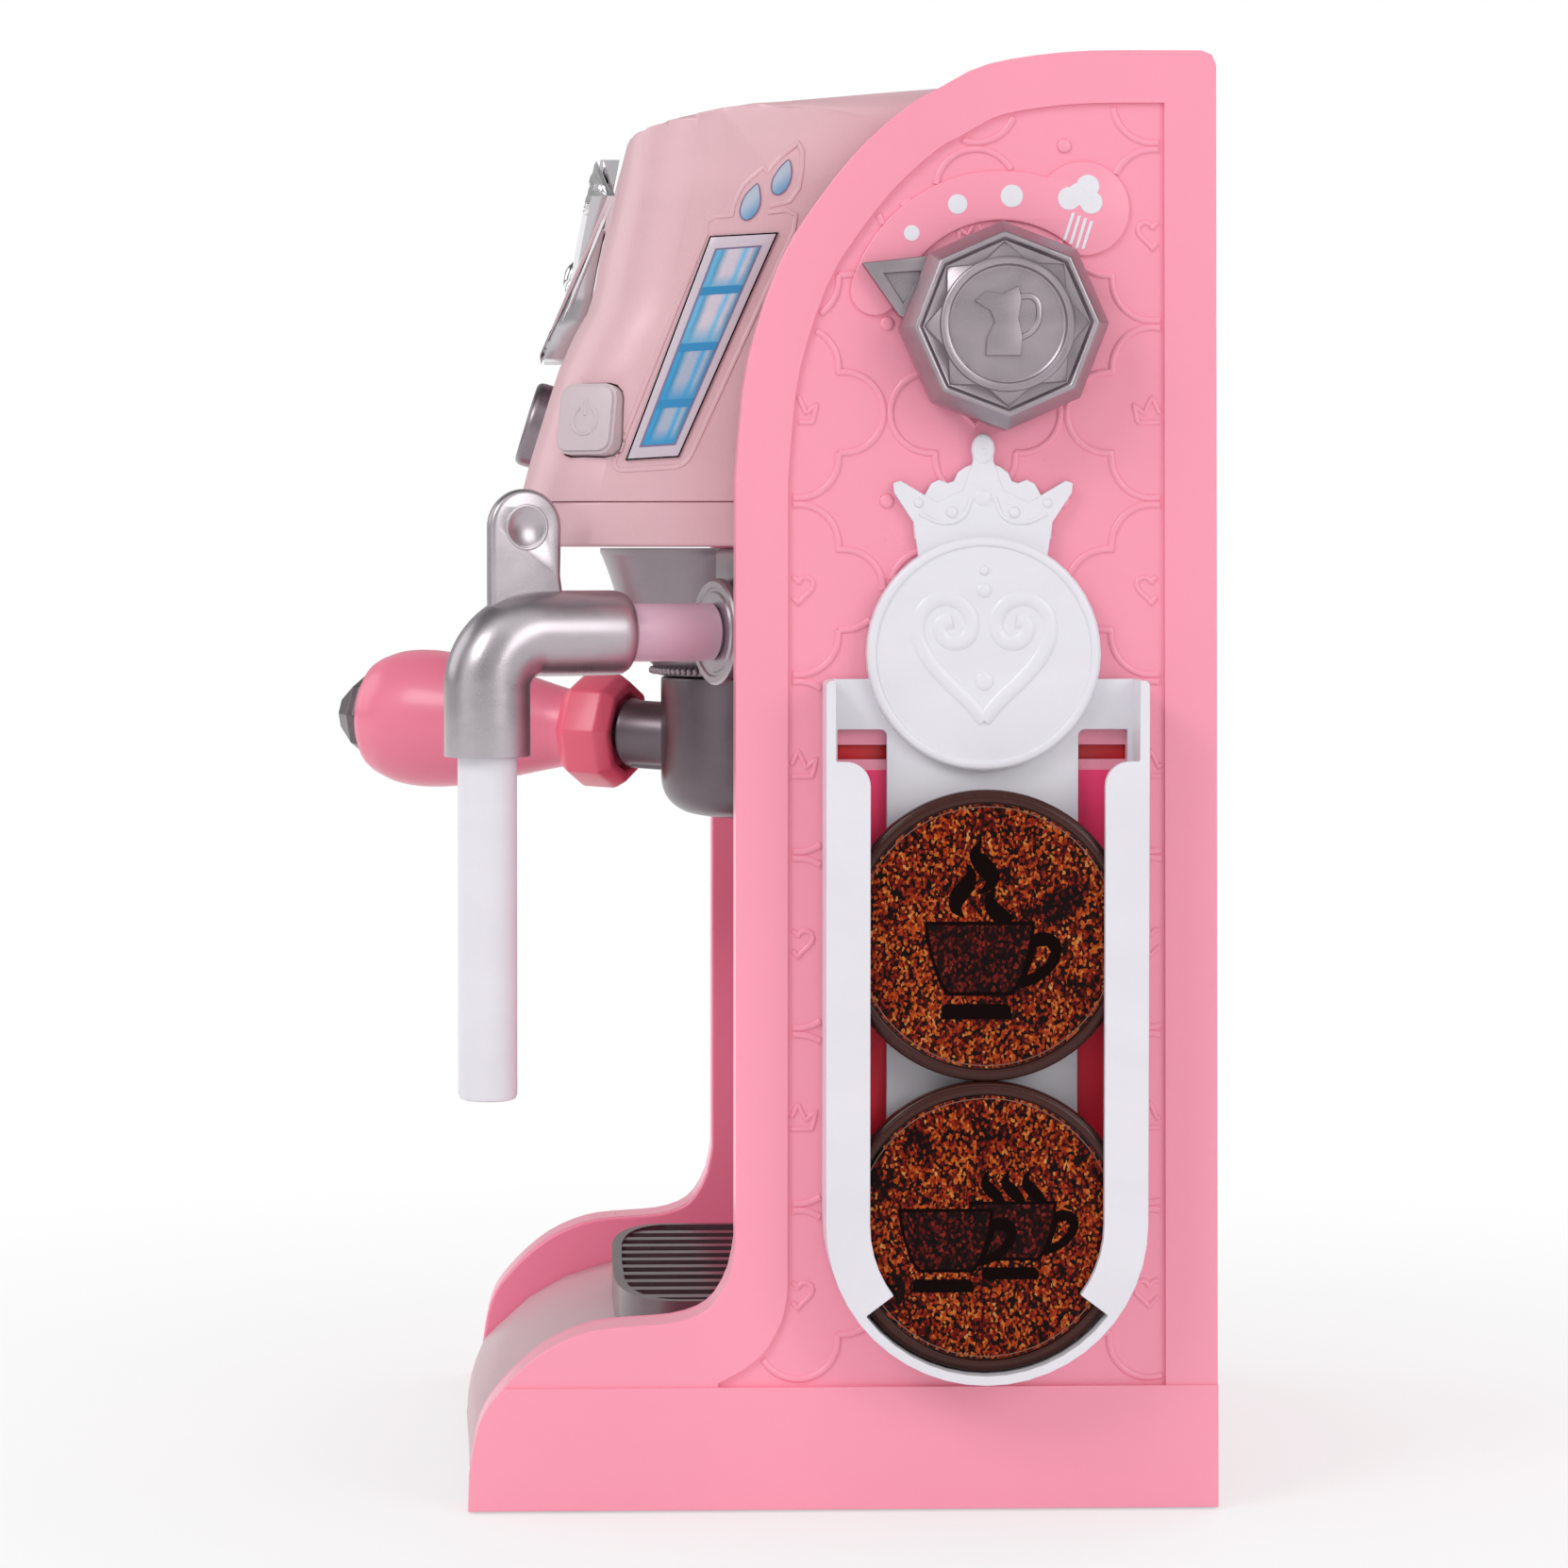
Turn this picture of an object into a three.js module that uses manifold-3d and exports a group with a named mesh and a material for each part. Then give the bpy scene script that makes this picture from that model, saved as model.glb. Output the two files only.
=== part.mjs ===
// Toy coffee maker with a cup bay, a press button and two corner buttons on its head, a portafilter
// that twists and drops out, a swinging steam wand, a turning steam knob and a rack with two pods.
// Millimetres, +Z up, front towards -Y, origin on the ground under the middle of the base.
import * as THREE from "three";
import { mergeVertices } from "three/addons/utils/BufferGeometryUtils.js";
import Module from "manifold-3d";

const wasm = await Module();
wasm.setup();

// Overall sizes
const height = 300;
const width = 165;
const depth = 155;

// Sizes that many pieces share
const wall = 2.2; // a moulded wall
const gap = 0.3; // between two pieces that touch
const overrun = 2; // how far a cut passes the face that it opens
const weldShare = 1e-6; // vertices nearer than this share of the height are one
const hingePlay = 0.4; // round a shaft that turns and a stem that slides

// Side panels
const sideThickness = 10.8;
const linerThickness = 2;
const toeRun = 55.1; // from the toe's tip back to the upright's front edge
const toeRise = 55; // where the toe runs into the upright
const archRise = 87.5; // from where the arch leaves the upright to the level top
const topRun = 11.8; // the level top behind the arch
const rearRake = 1.5; // how far the rear edge leans in by the top
const rearCorner = 3;
const footHeight = 25.4;
const footProud = 0.6;
const rimWidth = 10.7; // the flat rim round the recessed field
const fieldDepth = 1;
const flareRun = 14.3; // how far the field's foot runs out into the toe
const flareRise = 21.1; // from the panel's foot up to where it leaves the upright

// Floor, column and rear cover
const deckTop = 30.4;
const skirtBulge = 4.4;
const skirtRun = 44.5; // from the skirt's front back to the level deck
const basePlateThickness = 2.2;
const columnDepth = 49; // from the machine's rear to the column's front
const coverThickness = 2.6;
const coverInset = 2.4; // from the panels' rear edge to the cover's face

// Head
const headHeight = 98.5; // at the rear cover
const headDrop = 3; // from the panels' top down to the roof
const seamRise = 9.5; // from the head's foot up to the seam between its shells
const headSetBack = 10.3; // from the toe's tip back to the head's front
const cornerInset = 28.1; // from the head's side in to the straight stretch of its front
const cornerRadius = 22;
const cheekStart = 52; // how far behind the front the full width begins
const roofRound = 8;

// Group head and portafilter
const groupTopRadius = 38.5;
const groupRimRadius = 26;
const groupBackRoom = 1; // between the group head and the column
const groupDrop = 28.5; // from the head's foot down to the group's rim
const socketRadius = 23.4;
const socketDepth = 18;
const ringWidth = 2.2;
const ringHeight = 6.5;
const bowlRadius = 25;
const bowlDepth = 31.4;
const bowlCollar = 6; // how far the bowl's collar reaches into the socket
const bowlCollarWall = 2;
const bowlFloor = 5.5;
const spoutDrop = 16;
const handleTurn = 26; // degrees that the handle points away from straight ahead at rest
const handleRise = 2.6; // degrees
const handleDrop = 15; // from the group's rim down to the handle's axis, carried back to the middle
const neckRadius = 7.3;
const neckEnd = 35.6; // from the group's axis
const handleEnd = 101;
const handleRadius = 15.8;
const handleCollarRadius = 13.1;
const handleCollarLength = 13.4;
const tangRadius = 4.2;
const capLength = 7;

// Steam wand
const wandTurn = 23; // degrees that the arm points outward from straight ahead
const wandInset = 14.1; // from the bay's wall in to the arm's root
const wandGroupRoom = 50.955; // from the group's axis to the middle of the arm's boss
const wandDrop = 18; // from the head's foot down to it
const bossRadius = 9.5;
const bossFlangeRadius = 11.3;
const bossLength = 22;
const armRadius = 6.1;
const armReach = 51.3; // from the boss to the nozzle's axis
const elbowRadius = 8.9;
const elbowStart = 20;
const elbowBend = 11;
const elbowDrop = 25.3;
const nozzleRadius = 6.15;
const nozzleDrop = 96.3;
const socketGrip = 5; // how far the tubes sit in the elbow
const tabLength = 15.9;
const tabThickness = 3;
const tabRise = 29.9;

// Steam knob
const knobSetIn = 45.5; // from the machine's rear
const knobDrop = 56.6; // from the panel's top
const knobRadius = 21.3;
const knobDepth = 13;
const knobStandOff = 1;
const knobBossRadius = 13.6;
const knobBossProud = 1.6;
const knobDiscRadius = 11.7;
const knobTilt = 1.5; // degrees
const pointerReach = 31.2;
const pointerAngle = 155; // degrees from +Y towards +Z
const pointerThickness = 2.6;
const pointerHalfWidth = 7.5;
const shaftRadius = 3.8;

// Pod rack and pods
const rackFrontRoom = 7.1; // between the panel's rim and the rack, in front
const rackRearRoom = 5.8; // and behind
const podThickness = 7;
const podLip = 2.8; // round the label
const podLabelThickness = 0.5;
const podPlay = 1.1; // from a pod's edge to the rack's wall
const rackWall = 2;
const rackPlate = 2.4;
const rackFootRoom = 2.6; // between the panel's foot and the rack
const rackBar = 10.4;
const windowInset = 13.1; // from the rack's side in to its spine
const lipWidth = 9;
const lipDrop = 16.4; // from the rack's top down to its lips
const lipEndTurn = 37; // degrees that the lips reach round the rack's foot
const lipThickness = 2.2;
const medallionRadius = 24;
const medallionRise = 5.2; // from the rack's top up to the medallion's middle
const medallionRelief = 2.5;
const crownSeat = 2.6; // how deep the crown sits behind the medallion's edge
const crownRoom = 1.1; // between the crown's tip and the steam knob
const crownHeight = 23;
const crownHalfWidth = 18.8;
const hookSlotHeight = 3;
const upperHookDrop = 15.1; // from the rack's top
const lowerHookRise = 60; // from the rack's lowest point

// Buttons
const buttonRise = 17; // from the head's seam up to the buttons' middles
const brewButtonRadius = 9.5;
const brewButtonProud = 5.8;
const cornerButtonTurn = 57; // degrees round the head's corner
const cornerButtonWide = 14;
const cornerButtonTall = 15;
const cornerButtonRound = 3;
const cornerButtonProud = 3.5;
const buttonTravel = 2;
const flangeDepth = 6.8; // behind the head's face, where the curved wall leaves room
const flangeThickness = 1.5;
const flangeLip = 1.8;
const stemRadius = 2.5;
const stemLength = 1.7;
const switchSize = 9;
const switchThickness = 3;
const carrierThickness = 2;
const carrierHeight = 16;

// Drip tray
const traySideRoom = 13.6; // between the tray and the bay's wall
const trayBackRoom = 3.5; // between the tray and the column
const traySetBack = 30.5; // from the toe's tip back to the tray
const trayBow = 13.5; // how far its front bows out
const trayRise = 8.1;
const slatCount = 10;
const slatWidth = 4;
const slatThickness = 2;
const slatSunk = 0.5;

// Badge and water gauge
const badgeProud = 3.6;
const badgeHalfWidth = 24;
const gaugeProud = 1.1;
const gaugeSetBack = 53.8; // from the head's front back to the gauge
const gaugeRun = 31;
const gaugeRise = 9; // from the head's seam up to it

// Batteries, board, speaker and power switch
const cellRadius = 5.2;
const cellLength = 44.5;
const cellPitch = 11.2;
const cellCount = 3;
const batterySetIn = 33.5; // from the machine's rear to the cells' middle
const boxWall = 1.6;
const contactThickness = 0.6;
const speakerRadius = 20;
const speakerDepth = 9;
const speakerDrop = 58.5; // from the head's foot down to the speaker
const switchSlotTravel = 5;
const sliderSize = 6;
const screwHeadRadius = 3;
const screwHeadHeight = 1.1;
const screwRadius = 1.4;
const screwLength = 9;

// Places worked out from those sizes
const outerX = width / 2;
const panelInnerX = outerX - sideThickness;
const linerOuterX = panelInnerX - gap;
const linerInnerX = linerOuterX - linerThickness;
const bayX = linerInnerX - gap; // half the width of all that stands between the liners
const fieldX = outerX - fieldDepth;
const frontY = -depth / 2;
const rearY = depth / 2;
const rearTopY = rearY - rearRake;
const uprightFront = frontY + toeRun;
const archStart = height - archRise;
const archEnd = rearTopY - topRun;
const coverBackY = rearTopY - coverInset;
const coverFrontY = coverBackY - coverThickness;
const inwardEndY = coverFrontY - gap; // where the pieces in front of the rear cover end
const columnFront = rearY - columnDepth;
const headRoof = height - headDrop;
const headBottom = headRoof - headHeight;
const headSeam = headBottom + seamRise;
const headFront = frontY + headSetBack;
const cornerStart = bayX - cornerInset;
const groupY = columnFront - groupTopRadius - groupBackRoom;
const groupRimZ = headBottom - groupDrop;
const wandX = bayX - wandInset;
const wandLean = THREE.MathUtils.degToRad(wandTurn);
const bossMiddleX = wandX - (bossLength / 2) * Math.sin(wandLean);
const bossMiddleY = groupY - Math.sqrt(Math.max(wandGroupRoom ** 2 - bossMiddleX ** 2, 0));
const wandY = bossMiddleY - (bossLength / 2) * Math.cos(wandLean);
const wandZ = headBottom - wandDrop;
const knobY = rearY - knobSetIn;
const knobZ = height - knobDrop;
const rackFront = uprightFront + rimWidth + rackFrontRoom;
const rackHalf = (rearY - rimWidth - rackRearRoom - rackFront) / 2;
const rackY = rackFront + rackHalf;
const rackFoot = footHeight + rackFootRoom;
const podRadius = rackHalf - rackWall - podPlay;
const crownBase = knobZ - knobRadius - crownRoom - crownHeight;
const medallionZ = crownBase + crownSeat - medallionRadius;
const rackTop = medallionZ - medallionRise;
const hookSlotZs = [rackTop - upperHookDrop, rackFoot + lowerHookRise];
const brewButtonZ = headSeam + buttonRise;
const batteryY = rearY - batterySetIn;
const speakerZ = headBottom - speakerDrop;

// Colours and finishes
function finish(color, roughness, metalness) {
  return new THREE.MeshStandardMaterial({ color, roughness, metalness });
}
const hotPink = finish(0xf888aa, 0.3, 0);
const palePink = finish(0xe8bcc4, 0.3, 0);
const pearlWhite = finish(0xe6e4f0, 0.35, 0);
const pewter = finish(0x96908f, 0.35, 0.4);
const chrome = finish(0xd8d8dc, 0.08, 1);
const podBrown = finish(0x4a2a20, 0.3, 0);
const labelBrown = finish(0x8a4a1c, 0.4, 0);
const sootBlack = finish(0x2c2c30, 0.5, 0);
const boardGreen = finish(0x2f6b46, 0.5, 0);
const zinc = finish(0xb8bac0, 0.3, 1);
const gaugeBlue = finish(0x58aee0, 0.3, 0);

// Solid helpers

// A closed geometry as a solid with its faces turned outwards.
function solid(geometry) {
  const bare = geometry.clone();
  bare.deleteAttribute("normal");
  bare.deleteAttribute("uv");
  const merged = mergeVertices(bare, weldShare * height);
  const points = merged.attributes.position;
  const corner = [new THREE.Vector3(), new THREE.Vector3(), new THREE.Vector3()];
  const faces = [];
  let volume = 0;
  for (let i = 0; i < merged.index.count; i += corner.length) {
    const face = corner.map((point, j) => merged.index.getX(i + j));
    if (new Set(face).size < corner.length) continue;
    corner.forEach((point, j) => point.fromBufferAttribute(points, face[j]));
    volume += corner[0].dot(corner[1].clone().cross(corner[2]));
    faces.push(face);
  }
  if (volume < 0) faces.forEach((face) => face.reverse());
  const mesh = { numProp: 3, vertProperties: points.array, triVerts: new Uint32Array(faces.flat()) };
  return new wasm.Manifold(new wasm.Mesh(mesh));
}

function geometryOf(made) {
  const { vertProperties, triVerts } = made.getMesh();
  const geometry = new THREE.BufferGeometry();
  geometry.setAttribute("position", new THREE.BufferAttribute(vertProperties, 3));
  geometry.setIndex(new THREE.BufferAttribute(triVerts, 1));
  geometry.computeVertexNormals();
  return geometry;
}

const joined = (first, ...others) => others.reduce((sum, other) => sum.add(other), first);
const without = (first, ...others) => others.reduce((rest, other) => rest.subtract(other), first);
const common = (first, ...others) => others.reduce((rest, other) => rest.intersect(other), first);
const placed = (made, matrix) => made.transform(matrix.toArray());
const mirrored = (made) => solid(geometryOf(made).applyMatrix4(new THREE.Matrix4().makeScale(-1, 1, 1)));

// An outline extruded from one height to another, along Z, along X (outline in Y, Z) or along Y
// (outline in X, Z).
function extruded(points, low, high, basis) {
  const shape = new THREE.Shape(points);
  const geometry = new THREE.ExtrudeGeometry(shape, { depth: high - low, bevelEnabled: false });
  geometry.translate(0, 0, low);
  if (basis) geometry.applyMatrix4(basis);
  return solid(geometry);
}
const unitX = new THREE.Vector3(1, 0, 0);
const unitY = new THREE.Vector3(0, 1, 0);
const unitZ = new THREE.Vector3(0, 0, 1);
const sideways = new THREE.Matrix4().makeBasis(unitY, unitZ, unitX);
const forwards = new THREE.Matrix4().makeBasis(unitX, unitZ, unitY.clone().negate());
const alongZ = (points, low, high) => extruded(points, low, high);
const alongX = (points, low, high) => extruded(points, low, high, sideways);
const alongY = (points, low, high) => extruded(points, -high, -low, forwards);

function box(x0, x1, y0, y1, z0, z1) {
  const geometry = new THREE.BoxGeometry(x1 - x0, y1 - y0, z1 - z0);
  geometry.translate((x0 + x1) / 2, (y0 + y1) / 2, (z0 + z1) / 2);
  return solid(geometry);
}

// A profile of [radius, height] pairs turned about the Z axis.
function turned(profile, sides) {
  const points = profile.map(([radius, z]) => new THREE.Vector2(radius, z));
  const geometry = new THREE.LatheGeometry(points, sides);
  geometry.rotateX(Math.PI / 2);
  return solid(geometry);
}

function rod(radius, low, high, sides) {
  return turned([[0, low], [radius, low], [radius, high], [0, high]], sides);
}

// The same rod laid along X, or along Y, through a point.
const layX = new THREE.Matrix4().makeRotationY(Math.PI / 2);
const layY = new THREE.Matrix4().makeRotationX(-Math.PI / 2);
function rodX(radius, low, high, y, z, sides) {
  return placed(rod(radius, low, high, sides), layX).translate([0, y, z]);
}
function rodY(radius, low, high, x, z, sides) {
  return placed(rod(radius, low, high, sides), layY).translate([x, 0, z]);
}
function rodZ(radius, low, high, x, y, sides) {
  return rod(radius, low, high, sides).translate([x, y, 0]);
}

// Rings with the same number of points, joined into one closed skin; flat gives a ring as an outline.
function lofted(rings, flat) {
  const count = rings[0].length;
  const corners = rings.flat();
  const faces = [];
  for (let i = 0; i + 1 < rings.length; i++) {
    for (let j = 0; j < count; j++) {
      const here = i * count + j;
      const beside = i * count + ((j + 1) % count);
      faces.push(here, beside, here + count, beside, beside + count, here + count);
    }
  }
  for (const i of [0, rings.length - 1]) {
    const outline = rings[i].map(flat);
    const turnedOver = THREE.ShapeUtils.isClockWise(outline) === i > 0;
    for (const face of THREE.ShapeUtils.triangulateShape(outline, [])) {
      if (turnedOver) face.reverse();
      faces.push(...face.map((corner) => corner + i * count));
    }
  }
  const geometry = new THREE.BufferGeometry().setFromPoints(corners);
  geometry.setIndex(faces);
  return solid(geometry);
}

// Outlines

const point = (x, y) => new THREE.Vector2(x, y);

// A smooth run through points.
const smoothed = (points, steps) => new THREE.SplineCurve(points).getPoints(steps);

// Pairs of shares laid over a run and a rise from a start.
function spread(shares, x, y, run, rise) {
  return shares.map(([along, up]) => point(x + along * run, y + up * rise));
}

function arc(x, y, radius, from, to, steps) {
  return Array.from({ length: steps + 1 }, (unused, i) => {
    const turn = THREE.MathUtils.degToRad(from + ((to - from) * i) / steps);
    return point(x + radius * Math.cos(turn), y + radius * Math.sin(turn));
  });
}

// A closed outline moved inwards by a distance; a negative one moves it outwards.
function inset(points, distance) {
  const turnSide = THREE.ShapeUtils.area(points) > 0 ? 1 : -1;
  const side = (a, b) => point(a.y - b.y, b.x - a.x).normalize().multiplyScalar(turnSide);
  return points.map((here, i) => {
    const before = side(points.at(i - 1), here);
    const after = side(here, points[(i + 1) % points.length]);
    const share = distance / (1 + before.dot(after));
    return here.clone().addScaledVector(before.add(after), share);
  });
}

// A run of points thickened to one side of its way.
function band(points, thickness) {
  const side = (a, b) => point(a.y - b.y, b.x - a.x).normalize();
  const moved = points.map((here, i) => {
    const before = side(points[Math.max(i - 1, 0)], points[Math.max(i, 1)]);
    const after = side(points[Math.min(i, points.length - 2)], points[Math.min(i + 1, points.length - 1)]);
    return here.clone().addScaledVector(before.clone().add(after), thickness / (1 + before.dot(after)));
  });
  return [...points, ...moved.reverse()];
}

function roundedBox(halfWide, halfTall, radius) {
  const steps = 3;
  return [
    ...arc(halfWide - radius, halfTall - radius, radius, 0, 90, steps),
    ...arc(radius - halfWide, halfTall - radius, radius, 90, 180, steps),
    ...arc(radius - halfWide, radius - halfTall, radius, 180, 270, steps),
    ...arc(halfWide - radius, radius - halfTall, radius, 270, 360, steps),
  ];
}

// The group and its meshes
const coffeeMaker = new THREE.Group();

function piece(name, made, material, parent = coffeeMaker) {
  const mesh = new THREE.Mesh(geometryOf(made), material);
  mesh.name = name;
  parent.add(mesh);
}

// Side panels

// From the toe's tip to the upright, in shares of that run and of the toe's rise.
const toeShares = [
  [0.004, 0.138], [0.025, 0.267], [0.058, 0.367], [0.12, 0.451], [0.195, 0.529], [0.292, 0.604],
  [0.4, 0.656], [0.507, 0.684], [0.646, 0.695], [0.763, 0.705], [0.86, 0.733], [0.926, 0.785],
  [0.978, 0.885], [1, 1],
];
// From the upright to the level top, in shares of that run and of the arch's rise.
const archShares = [
  [0, 0], [0.02, 0.223], [0.057, 0.375], [0.12, 0.537], [0.221, 0.685], [0.308, 0.785], [0.409, 0.871],
  [0.478, 0.909], [0.572, 0.959], [0.684, 0.984], [0.823, 0.998], [1, 1],
];

// The panel seen from the side: toe, upright, arch, level top and raked rear, with a round rear corner.
// It stands on the ground, or reaches deeper where it is only drawn to be moved inwards.
function sideOutline(corner, ground = 0) {
  const rounded = arc(rearTopY - corner, height - corner, corner, 90, 0, 2);
  const turns = corner > 0 ? rounded : [point(rearTopY, height)];
  return [
    point(rearY, ground),
    point(frontY, ground),
    ...smoothed(spread(toeShares, frontY, 0, toeRun, toeRise), 26),
    ...smoothed(spread(archShares, uprightFront, archStart, archEnd - uprightFront, archRise), 24),
    ...turns,
  ];
}

// From the tip of the sunk field's foot up to the upright, in shares of its run and rise.
const flareShares = [
  [0, 0.04], [0.36, 0.17], [0.635, 0.322], [0.772, 0.453], [0.91, 0.64], [0.98, 0.83], [1, 1],
];
const hookY = [rackY - podRadius, rackY + podRadius];

// A moulded tray, open towards the machine, with a proud foot and a sunk field inside a flat rim.
function outerPanel() {
  const inner = inset(sideOutline(0), wall);
  const field = inset(sideOutline(0, -footHeight), rimWidth);
  const foot = common(
    alongX(sideOutline(0), outerX - overrun, outerX + footProud),
    box(0, width, frontY, rearY, 0, footHeight),
  );
  const fieldEdge = uprightFront + rimWidth;
  const fieldTip = fieldEdge - flareRun;
  const aboveFoot = [
    point(rearY, footHeight),
    point(fieldTip, footHeight),
    ...smoothed(spread(flareShares, fieldTip, footHeight, flareRun, flareRise), 12),
    point(fieldEdge, height),
    point(rearY, height),
  ];
  const sunk = common(alongX(field, fieldX, outerX + overrun), alongX(aboveFoot, 0, width));
  const shell = joined(alongX(sideOutline(rearCorner), panelInnerX, outerX), foot);
  return without(shell, alongX(inner, panelInnerX - overrun, outerX - wall), sunk);
}

function sidePanels() {
  const plain = outerPanel();
  const shaftHole = rodX(shaftRadius + hingePlay, panelInnerX, outerX + overrun, knobY, knobZ, 20);
  const slots = hookSlotZs.map((z) => box(
    outerX - wall - overrun, outerX + overrun, ...hookY, z - hookSlotHeight / 2, z + hookSlotHeight / 2,
  ));
  piece("right_outer_panel", without(plain, shaftHole, ...slots), hotPink);
  piece("left_outer_panel", mirrored(plain), hotPink);
  const liner = alongX(sideOutline(rearCorner), linerInnerX, linerOuterX);
  piece("right_liner", liner, hotPink);
  piece("left_liner", mirrored(liner), hotPink);
}

// Base plate, battery compartment and floor
const boxHalfX = cellLength / 2 + contactThickness + 3 * gap + boxWall;
const boxHalfY = (cellPitch * (cellCount - 1)) / 2 + cellRadius + 2 * gap + boxWall;
const boxTop = basePlateThickness + 2 * cellRadius + boxWall + 4 * gap;
const doorHalfX = boxHalfX + 2 * boxWall;
const doorHalfY = boxHalfY + 2 * screwHeadRadius + 4 * gap;
const doorScrewY = batteryY - boxHalfY - screwHeadRadius - 2 * gap;
const baseScrewX = 0.62 * bayX;
const baseScrewY = 0.45 * frontY;
const postHalf = 2.6 * screwRadius;

// A pan-headed screw with its head down at a height, and its shank rising.
function screwUp(x, y, z) {
  const profile = [
    [0, 0], [0.8 * screwHeadRadius, 0], [screwHeadRadius, 0.4 * screwHeadHeight],
    [screwHeadRadius, screwHeadHeight], [screwRadius, screwHeadHeight],
    [screwRadius, screwLength - screwRadius], [0, screwLength],
  ];
  return turned(profile, 12).translate([x, y, z]);
}

// A hole for the shank with a seat for the head, through a plate that lies on the ground.
function screwSeat(x, y) {
  return joined(
    rodZ(screwRadius + gap, -overrun, screwLength + overrun, x, y, 12),
    rodZ(screwHeadRadius + gap, -overrun, screwHeadHeight + 1.5 * gap, x, y, 12),
  );
}

function base() {
  const plate = box(-bayX, bayX, frontY + 3 * wall, coverBackY, 0, basePlateThickness);
  const doorway = box(
    -doorHalfX - gap, doorHalfX + gap, batteryY - doorHalfY - gap, batteryY + doorHalfY + gap,
    -overrun, basePlateThickness + overrun,
  );
  const seats = [-baseScrewX, baseScrewX].map((x) => screwSeat(x, baseScrewY));
  piece("base_plate", without(plate, doorway, ...seats), hotPink);
  const door = box(-doorHalfX, doorHalfX, batteryY - doorHalfY, batteryY + doorHalfY, 0, basePlateThickness);
  piece("battery_door", without(door, screwSeat(0, doorScrewY)), hotPink);
  piece("battery_door_screw", screwUp(0, doorScrewY, gap), zinc);
  piece("base_screw_left", screwUp(-baseScrewX, baseScrewY, gap), zinc);
  piece("base_screw_right", screwUp(baseScrewX, baseScrewY, gap), zinc);
}

function batteries() {
  const low = basePlateThickness + gap;
  const shell = box(-boxHalfX, boxHalfX, batteryY - boxHalfY, batteryY + boxHalfY, low, boxTop);
  const room = box(
    boxWall - boxHalfX, boxHalfX - boxWall, batteryY - boxHalfY + boxWall, batteryY + boxHalfY - boxWall,
    low - overrun, boxTop - boxWall,
  );
  const flangeBack = batteryY - boxHalfY + boxWall;
  const flange = box(-doorHalfX, doorHalfX, doorScrewY - postHalf, flangeBack, low, boxTop / 2);
  const screwHole = rodZ(screwRadius + gap, 0, screwLength + 2 * gap, 0, doorScrewY, 12);
  piece("battery_box", without(joined(shell, flange), room, screwHole), sootBlack);
  for (let i = 0; i < cellCount; i++) {
    const y = batteryY + (i - (cellCount - 1) / 2) * cellPitch;
    const half = cellLength / 2;
    piece(`battery_${i + 1}`, rodX(cellRadius, -half, half, y, low + gap + cellRadius, 16), zinc);
  }
  const innerEnd = cellLength / 2 + gap;
  const reach = boxHalfY - boxWall - gap;
  const plate = box(
    innerEnd, innerEnd + contactThickness, batteryY - reach, batteryY + reach,
    low + gap, boxTop - boxWall - gap,
  );
  piece("battery_contact_right", plate, zinc);
  piece("battery_contact_left", mirrored(plate), zinc);
}

// The skirt from the ground up to the deck: shares of its run, of the deck's height and of the bulge.
const skirtShares = [
  [0.035, 0.02, 0.1], [0, 0.22, 0.15], [0.018, 0.31, 0.6], [0.095, 0.42, 1], [0.26, 0.64, 1],
  [0.45, 0.8, 0.7], [0.62, 0.88, 0.3], [0.78, 0.94, 0], [1, 1, 0],
];

function floor() {
  const stations = [-1, -0.85, -0.6, -0.3, 0, 0.3, 0.6, 0.85, 1];
  const rings = stations.map((share) => {
    const bulge = skirtBulge * (1 - share ** 2);
    const skirt = skirtShares.map(([along, up, out]) => (
      point(frontY + along * skirtRun - out * bulge, up * deckTop)
    ));
    const ring = band([...skirt, point(inwardEndY, deckTop)], -wall);
    return ring.map((p) => new THREE.Vector3(share * bayX, p.x, Math.max(p.y, skirt[0].y)));
  });
  const shell = lofted(rings, (p) => point(p.y, p.z));
  const posts = [-baseScrewX, baseScrewX].map((x) => box(
    x - postHalf, x + postHalf, baseScrewY - postHalf, baseScrewY + postHalf,
    basePlateThickness + gap, deckTop - wall / 2,
  ));
  const holes = [-baseScrewX, baseScrewX].map((x) => (
    rodZ(screwRadius + gap, 0, screwLength + 2 * gap, x, baseScrewY, 12)
  ));
  piece("front_floor", without(joined(shell, ...posts), ...holes), palePink);
}

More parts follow.
